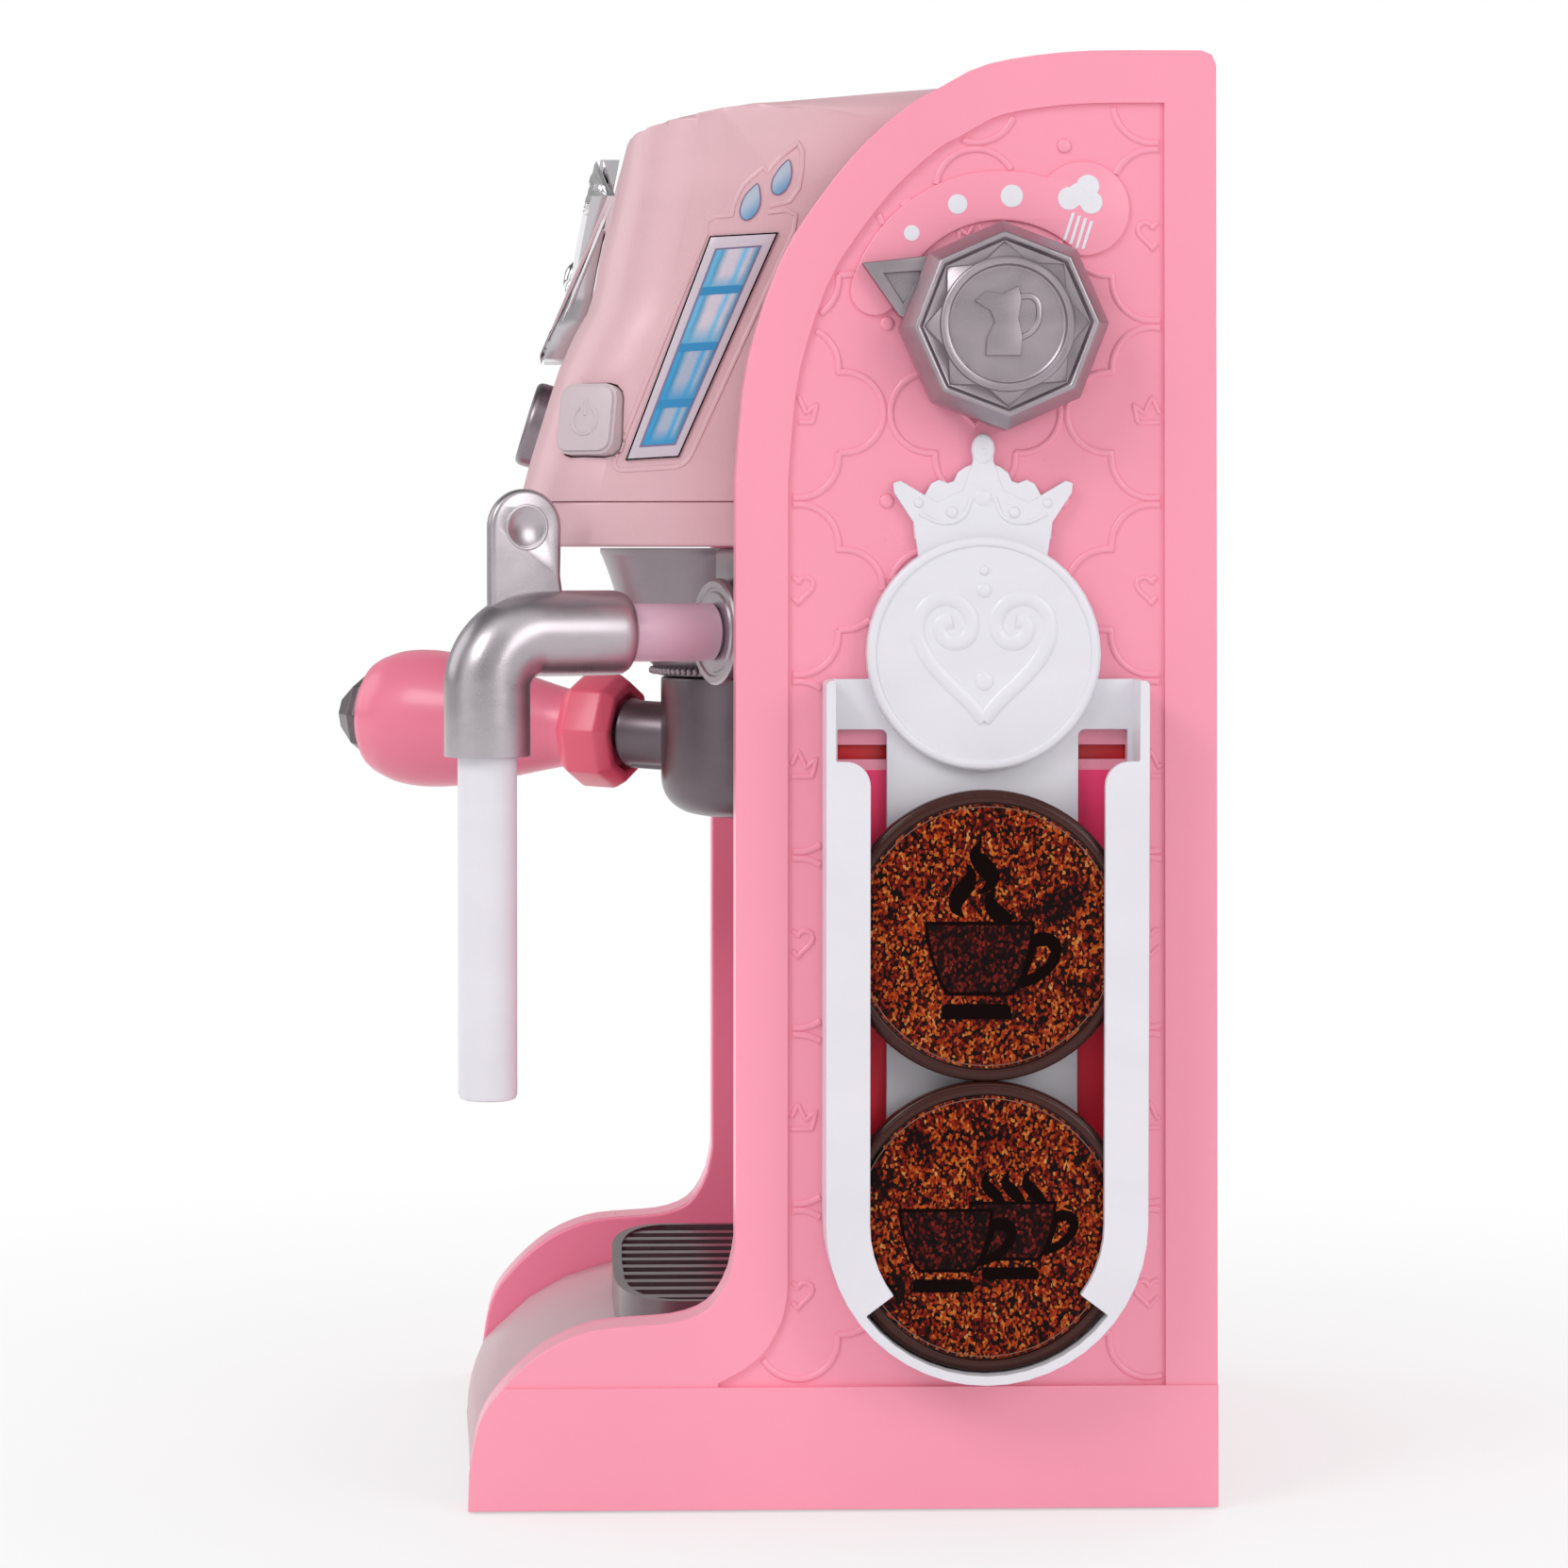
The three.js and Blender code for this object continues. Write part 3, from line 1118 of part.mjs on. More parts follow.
// A generic crown with three points, in shares of its half width and its height.
const rackCrownShares = [
  [-0.7, 0], [0.7, 0], [0.76, 0.3], [0.97, 0.54], [0.98, 0.62], [0.9, 0.64], [0.5, 0.46], [0.22, 0.56],
  [0.11, 0.8], [0.12, 0.92], [0, 1], [-0.12, 0.92], [-0.11, 0.8], [-0.22, 0.56], [-0.5, 0.46], [-0.9, 0.64],
  [-0.98, 0.62], [-0.97, 0.54], [-0.76, 0.3],
];

function podRack() {
  const plateFace = rackBack + rackPlate;
  const outline = trough(rackHalf, rackTop);
  const plate = alongX(outline, rackBack, plateFace);
  const windowTop = rackTop - rackBar;
  const rackSpineHalf = rackHalf - windowInset;
  const window = [-1, 1].map((side) => {
    const near = rackY + side * rackSpineHalf;
    const far = rackY + side * (rackHalf - 1.5 * rackWall);
    return box(
      rackBack - overrun, plateFace + overrun, Math.min(near, far), Math.max(near, far), podLowZ, windowTop,
    );
  });
  const walls = without(
    alongX(outline, rackBack, rackFace),
    alongX(trough(rackHalf - rackWall, rackTop + overrun), rackBack - overrun, rackFace + overrun),
  );
  const middleZ = rackFoot + rackHalf;
  const lipTurn = THREE.MathUtils.degToRad(lipEndTurn);
  const lipEndZ = middleZ - rackHalf * Math.tan(lipTurn);
  const lipRoom = [
    point(rackY, middleZ),
    point(rackY + rackHalf, lipEndZ),
    point(rackY + rackHalf, rackTop - lipDrop),
    point(rackY - rackHalf, rackTop - lipDrop),
    point(rackY - rackHalf, lipEndZ),
  ];
  const lips = without(
    common(alongX(outline, lipBack, rackFace), alongX(lipRoom, 0, width)),
    alongX(trough(rackHalf - lipWidth, rackTop), lipBack - overrun, rackFace + overrun),
  );
  const relief = plateFace + medallionRelief;
  const medallion = rodX(medallionRadius, rackBack, relief, rackY, medallionZ, 48);
  const crownFoot = crownBase - rackWall;
  const crownTall = crownHeight + rackWall;
  const crownOutline = spread(rackCrownShares, rackY, crownFoot, crownHalfWidth, crownTall);
  const crown = alongX(crownOutline, rackBack, plateFace);
  const hookHalf = rackSpineHalf / 2;
  const hookInside = outerX - wall - gap;
  const hooks = hookSlotZs.map((z) => {
    const low = z - hookSlotHeight / 2 + gap;
    const high = z + hookSlotHeight / 2 - gap;
    return joined(
      box(hookInside - rackWall, rackBack + rackWall / 2, rackY - hookHalf, rackY + hookHalf, low, high),
      box(hookInside - rackWall, hookInside, rackY - hookHalf, rackY + hookHalf, low - hookSlotHeight, high),
    );
  });
  piece("pod_rack", joined(without(plate, ...window), walls, lips, medallion, crown, ...hooks), pearlWhite);
}

// A pod with a stepped rim, and the label in its face.
function pods() {
  const face = podThickness;
  const podLabelRadius = podRadius - podLip;
  const profile = [
    [0, 0], [podRadius - podLip, 0], [podRadius - podLip / 2, 0.15 * face],
    [podRadius - podLip / 2, 0.45 * face], [podRadius, 0.5 * face], [podRadius, 0.9 * face],
    [podRadius - podLip / 3, face],
    [podLabelRadius + gap, face], [podLabelRadius + gap, face - podLabelThickness - gap],
    [0, face - podLabelThickness - gap],
  ];
  for (const [name, z] of [["lower", podLowZ], ["upper", podHighZ]]) {
    const seat = new THREE.Group();
    seat.position.set(podBack, rackY, z);
    seat.quaternion.setFromRotationMatrix(sideways);
    coffeeMaker.add(seat);
    piece(`${name}_pod`, turned(profile, 48), podBrown, seat);
    piece(`${name}_pod_label`, rod(podLabelRadius, face - podLabelThickness, face, 48), labelBrown, seat);
  }
}

sidePanels();
base();
batteries();
floor();
dripTray();
column();
rearCover();
electronics();
headShells();
headButtons();
headTrim();
groupHead();
portafilter();
steamWand();
steamKnob();
podRack();
pods();

export default coffeeMaker;
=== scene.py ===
"""The looks of a toy coffee maker: finishes, embossing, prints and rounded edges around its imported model.

It is laid out as an add-on and run as a script. Shapes are worked in millimetres, and each finished piece
is brought to metres when it is settled in its place. The front faces -Y, the side with the pod rack +X.
"""
import math
from contextlib import contextmanager
from functools import cache
from types import SimpleNamespace

import bmesh
import bpy
from bpy.props import FloatProperty, FloatVectorProperty, IntProperty, PointerProperty
from mathutils import Matrix, Vector
from mathutils.bvhtree import BVHTree


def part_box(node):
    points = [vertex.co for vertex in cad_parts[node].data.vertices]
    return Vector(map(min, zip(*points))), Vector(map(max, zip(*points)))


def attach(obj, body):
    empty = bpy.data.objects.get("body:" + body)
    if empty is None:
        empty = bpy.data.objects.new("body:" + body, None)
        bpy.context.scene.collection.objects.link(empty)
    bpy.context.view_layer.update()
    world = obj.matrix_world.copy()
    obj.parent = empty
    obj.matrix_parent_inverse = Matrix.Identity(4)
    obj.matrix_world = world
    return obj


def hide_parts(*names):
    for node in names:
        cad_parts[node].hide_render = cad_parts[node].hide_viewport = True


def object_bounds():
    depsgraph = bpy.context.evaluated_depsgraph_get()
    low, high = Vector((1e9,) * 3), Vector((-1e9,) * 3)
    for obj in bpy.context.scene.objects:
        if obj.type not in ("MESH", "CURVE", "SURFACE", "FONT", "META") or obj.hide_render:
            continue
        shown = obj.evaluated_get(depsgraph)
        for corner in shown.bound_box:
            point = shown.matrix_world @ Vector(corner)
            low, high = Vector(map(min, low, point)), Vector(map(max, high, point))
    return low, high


bl_info = {
    "name": "Toy coffee maker",
    "version": (1, 0, 0),
    "blender": (4, 5, 0),
    "location": "View3D > Sidebar > Coffee maker",
    "description": "Builds the pieces and finishes of a toy coffee maker around its packed model",
    "category": "Object",
}

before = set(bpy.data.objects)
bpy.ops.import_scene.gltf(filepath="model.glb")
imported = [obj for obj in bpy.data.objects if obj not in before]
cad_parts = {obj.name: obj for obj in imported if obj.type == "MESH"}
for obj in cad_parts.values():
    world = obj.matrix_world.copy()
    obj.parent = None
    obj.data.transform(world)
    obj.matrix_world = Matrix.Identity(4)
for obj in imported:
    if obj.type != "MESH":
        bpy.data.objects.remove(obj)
CAD_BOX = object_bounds()
MM = 0.001
SUNK = 0.3  # how deep a raised shape reaches into what carries it
FINISHES = {}
SLOTS = {
    "hot_pink_shell": ("hot_pink", "slot_painted_shade", "bay_painted_shade", "handle_pink", "collar_painted_shade", "rack_painted_shade"),
    "pale_pink_shell": ("pale_pink", "floor_pink"),
    "pearl_white": ("white", "button", "arm", "white_ink"),
    "pewter": ("pewter", "knob_pewter", "group_pewter", "dark_pewter", "grille"),
    "chrome_trim": ("painted_shade_chrome", "chrome"),
    "pod_brown": ("pod_brown",),
    "pod_label": ("grounds", "dark_grounds", "label_edge_glint"),
    "gauge_print": ("soot_ink", "gauge_slate", "gauge_grey", "pale_cell", "deep_cell", "gauge_blue", "drop_blue"),
}

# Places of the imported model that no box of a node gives
FIELD_X = 81.5  # the sunk fields of the side panels
RACK_TOP = 171.4
RACK_PLATE_X = 84.2  # the face of the rack's plate and crown
RACK_BAR = 10.4  # from the rack's top down to its windows
LIP_DROP = 16.4  # from the rack's top down to its lips
LIP_WIDTH = 9.0
WINDOW_INSET = 13.1  # from the rack's side in to its spine
MEDALLION_X = 86.7  # the medallion's face
MEDALLION = (28.2, 176.6, 24.0)  # Y, Z and radius


@cache
def low(node):
    """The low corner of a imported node's box."""
    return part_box(node)[0] / MM


@cache
def high(node):
    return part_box(node)[1] / MM


def middle(node):
    return (low(node) + high(node)) / 2


# Settings

def length(name, description, default):
    return FloatProperty(name=name, description=description, unit="LENGTH", default=default, min=0.0)


def colour(name, description, default):
    return FloatVectorProperty(name=name, description=description, subtype="COLOR", size=3, default=default)


def in_mm(group):
    """A group's lengths in millimetres, and its counts."""
    values = {key: getattr(group, key) for key in type(group).__annotations__}
    return SimpleNamespace(**{key: v if isinstance(v, int) else v / MM for key, v in values.items()})


# Modelling helpers

def deselect():
    bpy.ops.object.select_all(action="DESELECT")


def activate(piece):
    deselect()
    piece.select_set(True)
    bpy.context.view_layer.objects.active = piece


def named(name):
    """The object that an operator has just made, under its name."""
    piece = bpy.context.active_object
    piece.name = piece.data.name = name
    return piece


@contextmanager
def editing(piece):
    activate(piece)
    bpy.ops.object.mode_set(mode="EDIT")
    bpy.ops.mesh.select_all(action="SELECT")
    yield
    bpy.ops.object.mode_set(mode="OBJECT")


def bevel_edges(piece, test, width, segments, clamp=False):
    """Rounds the edges that pass a test."""
    with editing(piece):
        bpy.ops.mesh.select_mode(type="EDGE")
        mesh = bmesh.from_edit_mesh(piece.data)
        for edge in mesh.edges:
            edge.select_set(test(edge))
        mesh.select_flush_mode()
        bmesh.update_edit_mesh(piece.data)
        bpy.ops.mesh.bevel(offset=width, segments=segments, affect="EDGES", clamp_overlap=clamp)


def apply_modifier(piece, kind, **settings):
    """Adds a modifier with its settings and applies it."""
    activate(piece)
    modifier = piece.modifiers.new(kind.title(), kind)
    for key, value in settings.items():
        setattr(modifier, key, value)
    bpy.ops.object.modifier_apply(modifier=modifier.name)
    return piece


def rounded(piece, width, segments=3, angle=35):
    """Rounds every edge that is sharper than an angle."""
    return apply_modifier(piece, "BEVEL", width=width, segments=segments, limit_method="ANGLE",
                          angle_limit=math.radians(angle), miter_outer="MITER_ARC")


def outwards(piece):
    """Turns every face outwards."""
    with editing(piece):
        bpy.ops.mesh.normals_make_consistent(inside=False)
    return piece


def cleaned(piece, reach=0.001):
    """Merges doubled vertices and turns every face outwards."""
    with editing(piece):
        bpy.ops.mesh.remove_doubles(threshold=reach)
    return outwards(piece)


def moved(piece, matrix):
    """Moves a piece's mesh and leaves the object at the origin."""
    activate(piece)
    piece.matrix_world = matrix @ piece.matrix_world
    bpy.ops.object.transform_apply(location=True, rotation=True, scale=True)
    return piece


def shifted(piece, x, y=0.0, z=0.0):
    return moved(piece, Matrix.Translation((x, y, z)))


def merged(name, *pieces):
    """Several pieces as one object."""
    activate(pieces[0])
    for piece in pieces[1:]:
        piece.select_set(True)
    if len(pieces) > 1:
        bpy.ops.object.join()
    return named(name)


def turned(name, profile, sides=72):
    """A round piece on the Z axis: a disc, then one extrude and resize for each (radius, height)."""
    (radius, height), *steps = profile
    deselect()
    bpy.ops.mesh.primitive_circle_add(vertices=sides, radius=radius, fill_type="NGON", location=(0, 0, height))
    piece = named(name)
    bpy.ops.object.transform_apply(location=True)
    with editing(piece):
        for wider, higher in steps:
            bpy.ops.mesh.extrude_region_move(TRANSFORM_OT_translate={"value": (0, 0, higher - height)})
            share = wider / radius
            bpy.ops.transform.resize(value=(share, share, 1), center_override=(0, 0, higher))
            radius, height = wider, higher
    return outwards(piece)


def bead(x, y, profile, sides=24):
    """A small turned shape at a place of a flat drawing."""
    return shifted(turned("bead", profile, sides), x, y)


def hoop(name, radius, thickness, height=0.0, around=72, across=12, flatten=1.0):
    """A ring of round section that lies flat, squashed to a share of its thickness."""
    deselect()
    bpy.ops.mesh.primitive_torus_add(major_radius=radius, minor_radius=thickness / 2, major_segments=around,
                                     minor_segments=across)
    return moved(named(name), Matrix.Translation((0, 0, height)) @ Matrix.Diagonal((1, 1, flatten, 1)))


def from_curve(name, runs, closed, smooth, shares=(), **settings):
    """A mesh from a curve through runs of points; smooth runs get automatic handles, shares narrow the first."""
    data = bpy.data.curves.new(name, "CURVE")
    for points in runs:
        spline = data.splines.new("BEZIER" if smooth else "POLY")
        held = spline.bezier_points if smooth else spline.points
        held.add(len(points) - 1)
        for knot, here in zip(held, points):
            place = (*here, 0)[:3]
            knot.co = place if smooth else (*place, 1)
            if smooth:
                knot.handle_left_type = knot.handle_right_type = "AUTO"
        for knot, share in zip(held, shares):
            knot.radius = share
        spline.use_cyclic_u = closed
    for key, value in settings.items():
        setattr(data, key, value)
    drawn = bpy.data.objects.new(name, data)
    bpy.context.collection.objects.link(drawn)
    activate(drawn)
    bpy.ops.object.convert(target="MESH")
    return cleaned(bpy.context.active_object)


def plate(name, outlines, thickness, rounding=0.0, foot=0.0):
    """A flat piece cut to closed outlines in X and Y, from a foot height up; inner outlines are holes."""
    piece = from_curve(name, outlines, True, False, dimensions="2D", fill_mode="BOTH", bevel_depth=rounding,
                       extrude=thickness / 2 - rounding, bevel_resolution=2, offset=-rounding)
    return shifted(piece, 0, 0, foot + thickness / 2)


def cord_lines(name, runs, width, rise, closed=False, smooth=False):
    """Raised lines along runs in X and Y: round tubes half sunk in the face at Z 0, pressed to a rise."""
    piece = from_curve(name, runs, closed, smooth, dimensions="3D", bevel_depth=width / 2, bevel_resolution=2,
                       use_fill_caps=True)
    return moved(piece, Matrix.Diagonal((1, 1, 2 * rise / width, 1)))


def copy_of(node, name, rounding=0.0, segments=3, angle=35, levels=()):
    """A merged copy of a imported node, in millimetres, with its flat faces whole and its edges rounded.

    A face with a hole is split at the levels that cross it.
    """
    piece = bpy.data.objects.new(name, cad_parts[node].data.copy())
    bpy.context.collection.objects.link(piece)
    moved(piece, Matrix.Scale(1 / MM, 4))
    piece.data.materials.clear()
    with editing(piece):
        bpy.ops.mesh.customdata_custom_splitnormals_clear()
        bpy.ops.mesh.remove_doubles(threshold=0.001)
        for level in levels:
            bpy.ops.mesh.select_all(action="SELECT")
            bpy.ops.mesh.bisect(plane_co=(0, 0, level), plane_no=(0, 0, 1))
            bpy.ops.mesh.mark_seam()
        bpy.ops.mesh.select_all(action="SELECT")
        bpy.ops.mesh.dissolve_limited(angle_limit=math.radians(0.5), delimit={"SEAM"})
    return rounded(piece, rounding, segments, angle) if rounding else piece


def settle(piece, finish, *nodes, body="housing", slot=None, place=Matrix.Identity(4), smooth=35, flat=False):
    """Brings a piece to metres in its place, gives it its finish and body, and hides the imported nodes that it
    replaces; its slot is looked up but not used.
    """
    moved(piece, Matrix.Scale(MM, 4) @ place)
    if place.determinant() < 0:
        with editing(piece):
            bpy.ops.mesh.flip_normals()
    activate(piece)
    bpy.ops.object.shade_smooth_by_angle(angle=math.radians(smooth))
    if flat:
        apply_modifier(piece, "WEIGHTED_NORMAL", keep_sharp=True)
    piece.data.materials.clear()
    piece.data.materials.append(FINISHES[finish])
    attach(piece, body)
    slot or next(key for key, finishes in SLOTS.items() if finish in finishes)
    if nodes:
        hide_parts(*nodes)


def on_side(x, y=0.0, z=0.0, side=1):
    """A drawing's X runs along Y, its Y up, and its Z out of the right side, or of the left where side is -1."""
    return Matrix(((0, 0, side, x), (1, 0, 0, y), (0, 1, 0, z), (0, 0, 0, 1)))


def arc(x, y, radius, start, end, steps):
    """Points on an arc, with its angles in degrees."""
    turns = [math.radians(start + (end - start) * i / steps) for i in range(steps + 1)]
    return [(x + radius * math.cos(t), y + radius * math.sin(t)) for t in turns]


def box_outline(left, foot, right, top):
    return [(left, foot), (right, foot), (right, top), (left, top)]


def dense(run, step=0.8):
    """A run with a point at least every step."""
    points = [run[0]]
    for a, b in zip(run, run[1:]):
        count = max(1, math.ceil(math.dist(a, b) / step))
        points += [(a[0] + (b[0] - a[0]) * i / count, a[1] + (b[1] - a[1]) * i / count) for i in range(1, count + 1)]
    return points


def through(points, steps=6):
    """A smooth run through points of two or three values."""
    made, last = [], len(points) - 1
    for i in range(last):
        a, b, c, d = (Vector(points[min(max(j, 0), last)]) for j in (i - 1, i, i + 1, i + 2))
        for t in (j / steps for j in range(steps)):
            made.append(0.5 * (2 * b + (c - a) * t + (2 * a - 5 * b + 4 * c - d) * t ** 2
                               + (3 * b - 3 * c + d - a) * t ** 3))
    return made + [Vector(points[-1])]


def soft_corners(points, radius, steps=6):
    """A closed outline with each corner cut to a curve."""
    made = []
    for i, corner in enumerate(points):
        corner = Vector(corner)
        ways = [Vector(points[i - 1]) - corner, Vector(points[(i + 1) % len(points)]) - corner]
        start, end = (corner + way.normalized() * min(radius, 0.45 * way.length) for way in ways)
        for t in (j / steps for j in range(steps + 1)):
            made.append(tuple(start * (1 - t) ** 2 + corner * 2 * t * (1 - t) + end * t ** 2))
    return made


# Finishes

def add_node(tree, kind, sockets, out=0, **settings):
    """Adds a node with its settings, then the values or links of its sockets, and gives one output."""
    made = tree.nodes.new(kind)
    for key, value in settings.items():
        setattr(made, key, value)
    for key, value in sockets.items():
        if isinstance(value, bpy.types.NodeSocket):
            tree.links.new(value, made.inputs[key])
        else:
            made.inputs[key].default_value = value
    return made.outputs[out]


def set_stops(output, stops):
    """Gives a colour ramp its stops of a level and a colour."""
    held = output.node.color_ramp.elements
    while len(held) < len(stops):
        held.new(1.0)
    for stop, (at, shade) in zip(held, stops):
        stop.position = at
        stop.color = (*shade, 1)
    return output


class Wire:
    """An output in a finish. A sum that is written on it adds its nodes."""

    def __init__(self, finish, output):
        self.finish = finish
        self.output = output

    def math(self, operation, *values):
        return self.finish.node("ShaderNodeMath", {"operation": operation}, dict(enumerate(values)))

    def __add__(self, other):
        return self.math("ADD", self, other)

    def __radd__(self, other):
        return self.math("ADD", self, other)

    def __sub__(self, other):
        return self.math("SUBTRACT", self, other)

    def __rmul__(self, other):
        return self.math("MULTIPLY", self, other)


class Finish:
    """A material in the making. The dictionary sets the plain sockets of its shader."""

    def __init__(self, name, plain):
        self.material = bpy.data.materials.new(name)
        self.material.use_nodes = True
        self.tree = self.material.node_tree
        self.shader = self.tree.nodes["Principled BSDF"]
        for socket, value in plain.items():
            self.shader.inputs[socket].default_value = value
        self.place = self.node("ShaderNodeTexCoord", out="Object")

    def node(self, kind, settings=None, sockets=None, out=0):
        given = {key: v.output if isinstance(v, Wire) else v for key, v in (sockets or {}).items()}
        return Wire(self, add_node(self.tree, kind, given, out, **(settings or {})))

    def stretched(self, *along, turn=(0, 0, 0)):
        """The place in the piece, stretched by three shares and turned."""
        return self.node("ShaderNodeMapping", None, {"Vector": self.place, "Scale": along, "Rotation": turn})

    def noise(self, size, detail=2.0, where=None, swirl=0.0):
        """Soft noise from 0 to 1 whose spots are about a size in metres."""
        return self.node("ShaderNodeTexNoise", None, {"Vector": where or self.place, "Scale": 1 / size,
                                                      "Detail": detail, "Distortion": swirl})

    def grains(self, size, out, where=None):
        """Cells about a size across: their own colour, or the distance to them."""
        return self.node("ShaderNodeTexVoronoi", None, {"Vector": where or self.place, "Scale": 1 / size}, out)

    def axis(self, where, index):
        """One part of a place: 0 for X, 1 for Y or 2 for Z."""
        return self.node("ShaderNodeSeparateXYZ", None, {0: where}, index)

    def mixed(self, share, first, second):
        """Two colours, mixed by a share."""
        first, second = (c if isinstance(c, Wire) else (*c, 1) for c in (first, second))
        return self.node("ShaderNodeMix", {"data_type": "RGBA"}, {0: share, 6: first, 7: second}, 2)

    def ramp(self, share, *stops):
        """A colour for each level, from stops of a level and a colour."""
        wire = self.node("ShaderNodeValToRGB", None, {0: share})
        set_stops(wire.output, stops)
        return wire

    def clipped(self, value, low_end, high_end, to_low=0.0, to_high=1.0):
        """A value spread from one range over another, and held there."""
        return self.node("ShaderNodeMapRange", {"clamp": True},
                         {0: value, 1: low_end, 2: high_end, 3: to_low, 4: to_high})

    def done(self, base, roughness=None, height=None, depth=0.0, metal=None):
        """Links what varies, with bumps of a depth in metres, and gives the material."""
        bump = height and self.node("ShaderNodeBump", None, {"Height": height, "Distance": depth, "Strength": 1.0})
        for socket, wire in (("Base Color", base), ("Roughness", roughness), ("Normal", bump), ("Metallic", metal)):
            if wire:
                self.tree.links.new(wire.output, self.shader.inputs[socket])
        return self.material


def shaded(hue, share):
    """A colour made darker, or lighter above 1."""
    return tuple(min(channel * share, 1.0) for channel in hue)


def moulded_plastic(name, hue, roughness=0.3):
    """Gloss plastic with slow flow marks, faint sink marks and a very fine moulded grain."""
    made = Finish(name, {"IOR": 1.49, "Coat Weight": 0.15, "Coat Roughness": 0.12})
    tone = made.clipped(made.noise(0.06, 3.0, made.stretched(1, 1, 0.35), 0.6), 0.3, 0.7)
    grain = made.noise(0.0009)
    return made.done(made.mixed(tone, shaded(hue, 0.965), shaded(hue, 1.03)),
                     roughness - 0.04 + 0.05 * tone + 0.04 * grain, grain + 6 * made.noise(0.02), 0.00002)


def flaked(made, hue, tone, flake, shades, ends, bright):
    """A colour in two shades, with specks of a brighter one where the flake shows."""
    base = made.mixed(tone, shaded(hue, shades[0]), shaded(hue, shades[1]))
    return made.mixed(made.clipped(flake, *ends), base, shaded(hue, bright))


def pearl_plastic(name, hue, roughness=0.36, metal=0.0, flakes=0.0):
    """Pearly plastic: flow marks of the pigment and fine bright flake under gloss."""
    made = Finish(name, {"IOR": 1.5, "Coat Weight": 0.16, "Coat Roughness": 0.16, "Metallic": metal})
    tone = made.clipped(made.noise(0.045, 4.0, made.stretched(1, 0.6, 1.6), 1.4), 0.3, 0.7)
    flake = made.noise(0.0004, 1.0)
    return made.done(flaked(made, hue, tone, flake, (0.97, 1.03), (0.56, 0.74), 1 + flakes),
                     roughness - 0.05 + 0.07 * tone + 0.05 * flake, flake + 8 * made.noise(0.018), 0.000015)


def pewter_plastic(name, hue, roughness=0.31):
    """Grey plastic full of metal flake, with the swirls that the flake leaves where the melt turned."""
    made = Finish(name, {"IOR": 1.5, "Coat Weight": 0.3, "Coat Roughness": 0.16})
    tone = made.clipped(made.noise(0.03, 4.0, made.stretched(1, 1, 1.8), 2.2), 0.28, 0.72)
    flake = made.noise(0.00035, 1.0)
    return made.done(flaked(made, hue, tone, flake, (0.88, 1.12), (0.54, 0.72), 1.08),
                     roughness - 0.06 + 0.1 * tone + 0.04 * flake, 0.1 * flake + 2 * made.noise(0.03), 0.000008,
                     metal=0.84 + 0.1 * tone)


def plated(name, hue, roughness):
    """Bright plating with faint ripples and a haze in places."""
    made = Finish(name, {"Metallic": 1.0, "Base Color": (*hue, 1)})
    haze = made.clipped(made.noise(0.008, 3.0), 0.45, 0.8)
    return made.done(None, roughness + 0.06 * haze, made.noise(0.006), 0.00003)


def gloss_brown(name, hue):
    """Dark gloss plastic with dust-fine scuffs."""
    made = Finish(name, {"IOR": 1.3, "Coat Weight": 0.12, "Coat Roughness": 0.1})
    tone = made.noise(0.012, 3.0)
    scuffs = made.noise(0.0006, where=made.stretched(1, 0.25, 1))
    return made.done(made.mixed(tone, shaded(hue, 0.8), shaded(hue, 1.25)),
                     0.2 + 0.08 * tone + 0.1 * made.clipped(scuffs, 0.55, 0.8), scuffs, 0.00001)


def coffee_print(name, stops, patches=0.5):
    """A printed picture of ground coffee: small upright grains from black through rust to gold."""
    made = Finish(name, {"IOR": 1.15, "Coat Weight": 0.02, "Coat Roughness": 0.2})
    warp = made.node("ShaderNodeCombineXYZ", None, {1: 0.0009 * made.noise(0.002)})
    upright = made.node("ShaderNodeVectorMath", {"operation": "ADD"}, {0: made.stretched(1, 1, 0.75), 1: warp})
    shade = made.node("ShaderNodeSeparateColor", None, {0: made.grains(0.0005, "Color", upright)})
    lump = made.noise(0.0024, 5.0, upright, 0.6)
    level = 0.74 * shade + 0.6 * lump - 0.17
    patch = made.clipped(made.noise(0.0075, where=made.stretched(1, 1, 0.8)), 0.56, 0.8)
    return made.done(made.ramp(level - patches * patch, *stops), 0.32 + 0.12 * lump, level, 0.00001)


def painted_shade_finish(name, high_colour, low_colour, high_end, low_end):
    """Painted shade: a deep rose on the panel where the rack shuts out the light, from one height down to another."""
    made = Finish(name, {"IOR": 1.45, "Roughness": 0.5})
    share = made.clipped(made.axis(made.place, 2) + 0.004 * made.noise(0.02), low_end, high_end)
    return made.done(made.mixed(share, low_colour, high_colour))


def printed(name, hue, ior=1.5, coat=0.3):
    """Flat printed ink with the faint screen of the press."""
    made = Finish(name, {"IOR": ior, "Coat Weight": coat, "Coat Roughness": 0.1})
    screen = made.grains(0.0003, "Distance")
    tone = made.noise(0.01)
    return made.done(made.mixed(0.5 * screen + 0.3 * tone, hue, shaded(hue, 0.86)), 0.3 + 0.08 * tone, screen,
                     0.000005)


def satin_plastic(name, hue):
    """Matt inner plastic with a spark-eroded grain."""
    made = Finish(name, {"IOR": 1.47})
    grain = made.noise(0.0006, 3.0)
    return made.done(made.mixed(made.noise(0.015), shaded(hue, 0.8), shaded(hue, 1.3)), 0.55 + 0.12 * grain, grain,
                     0.00005)


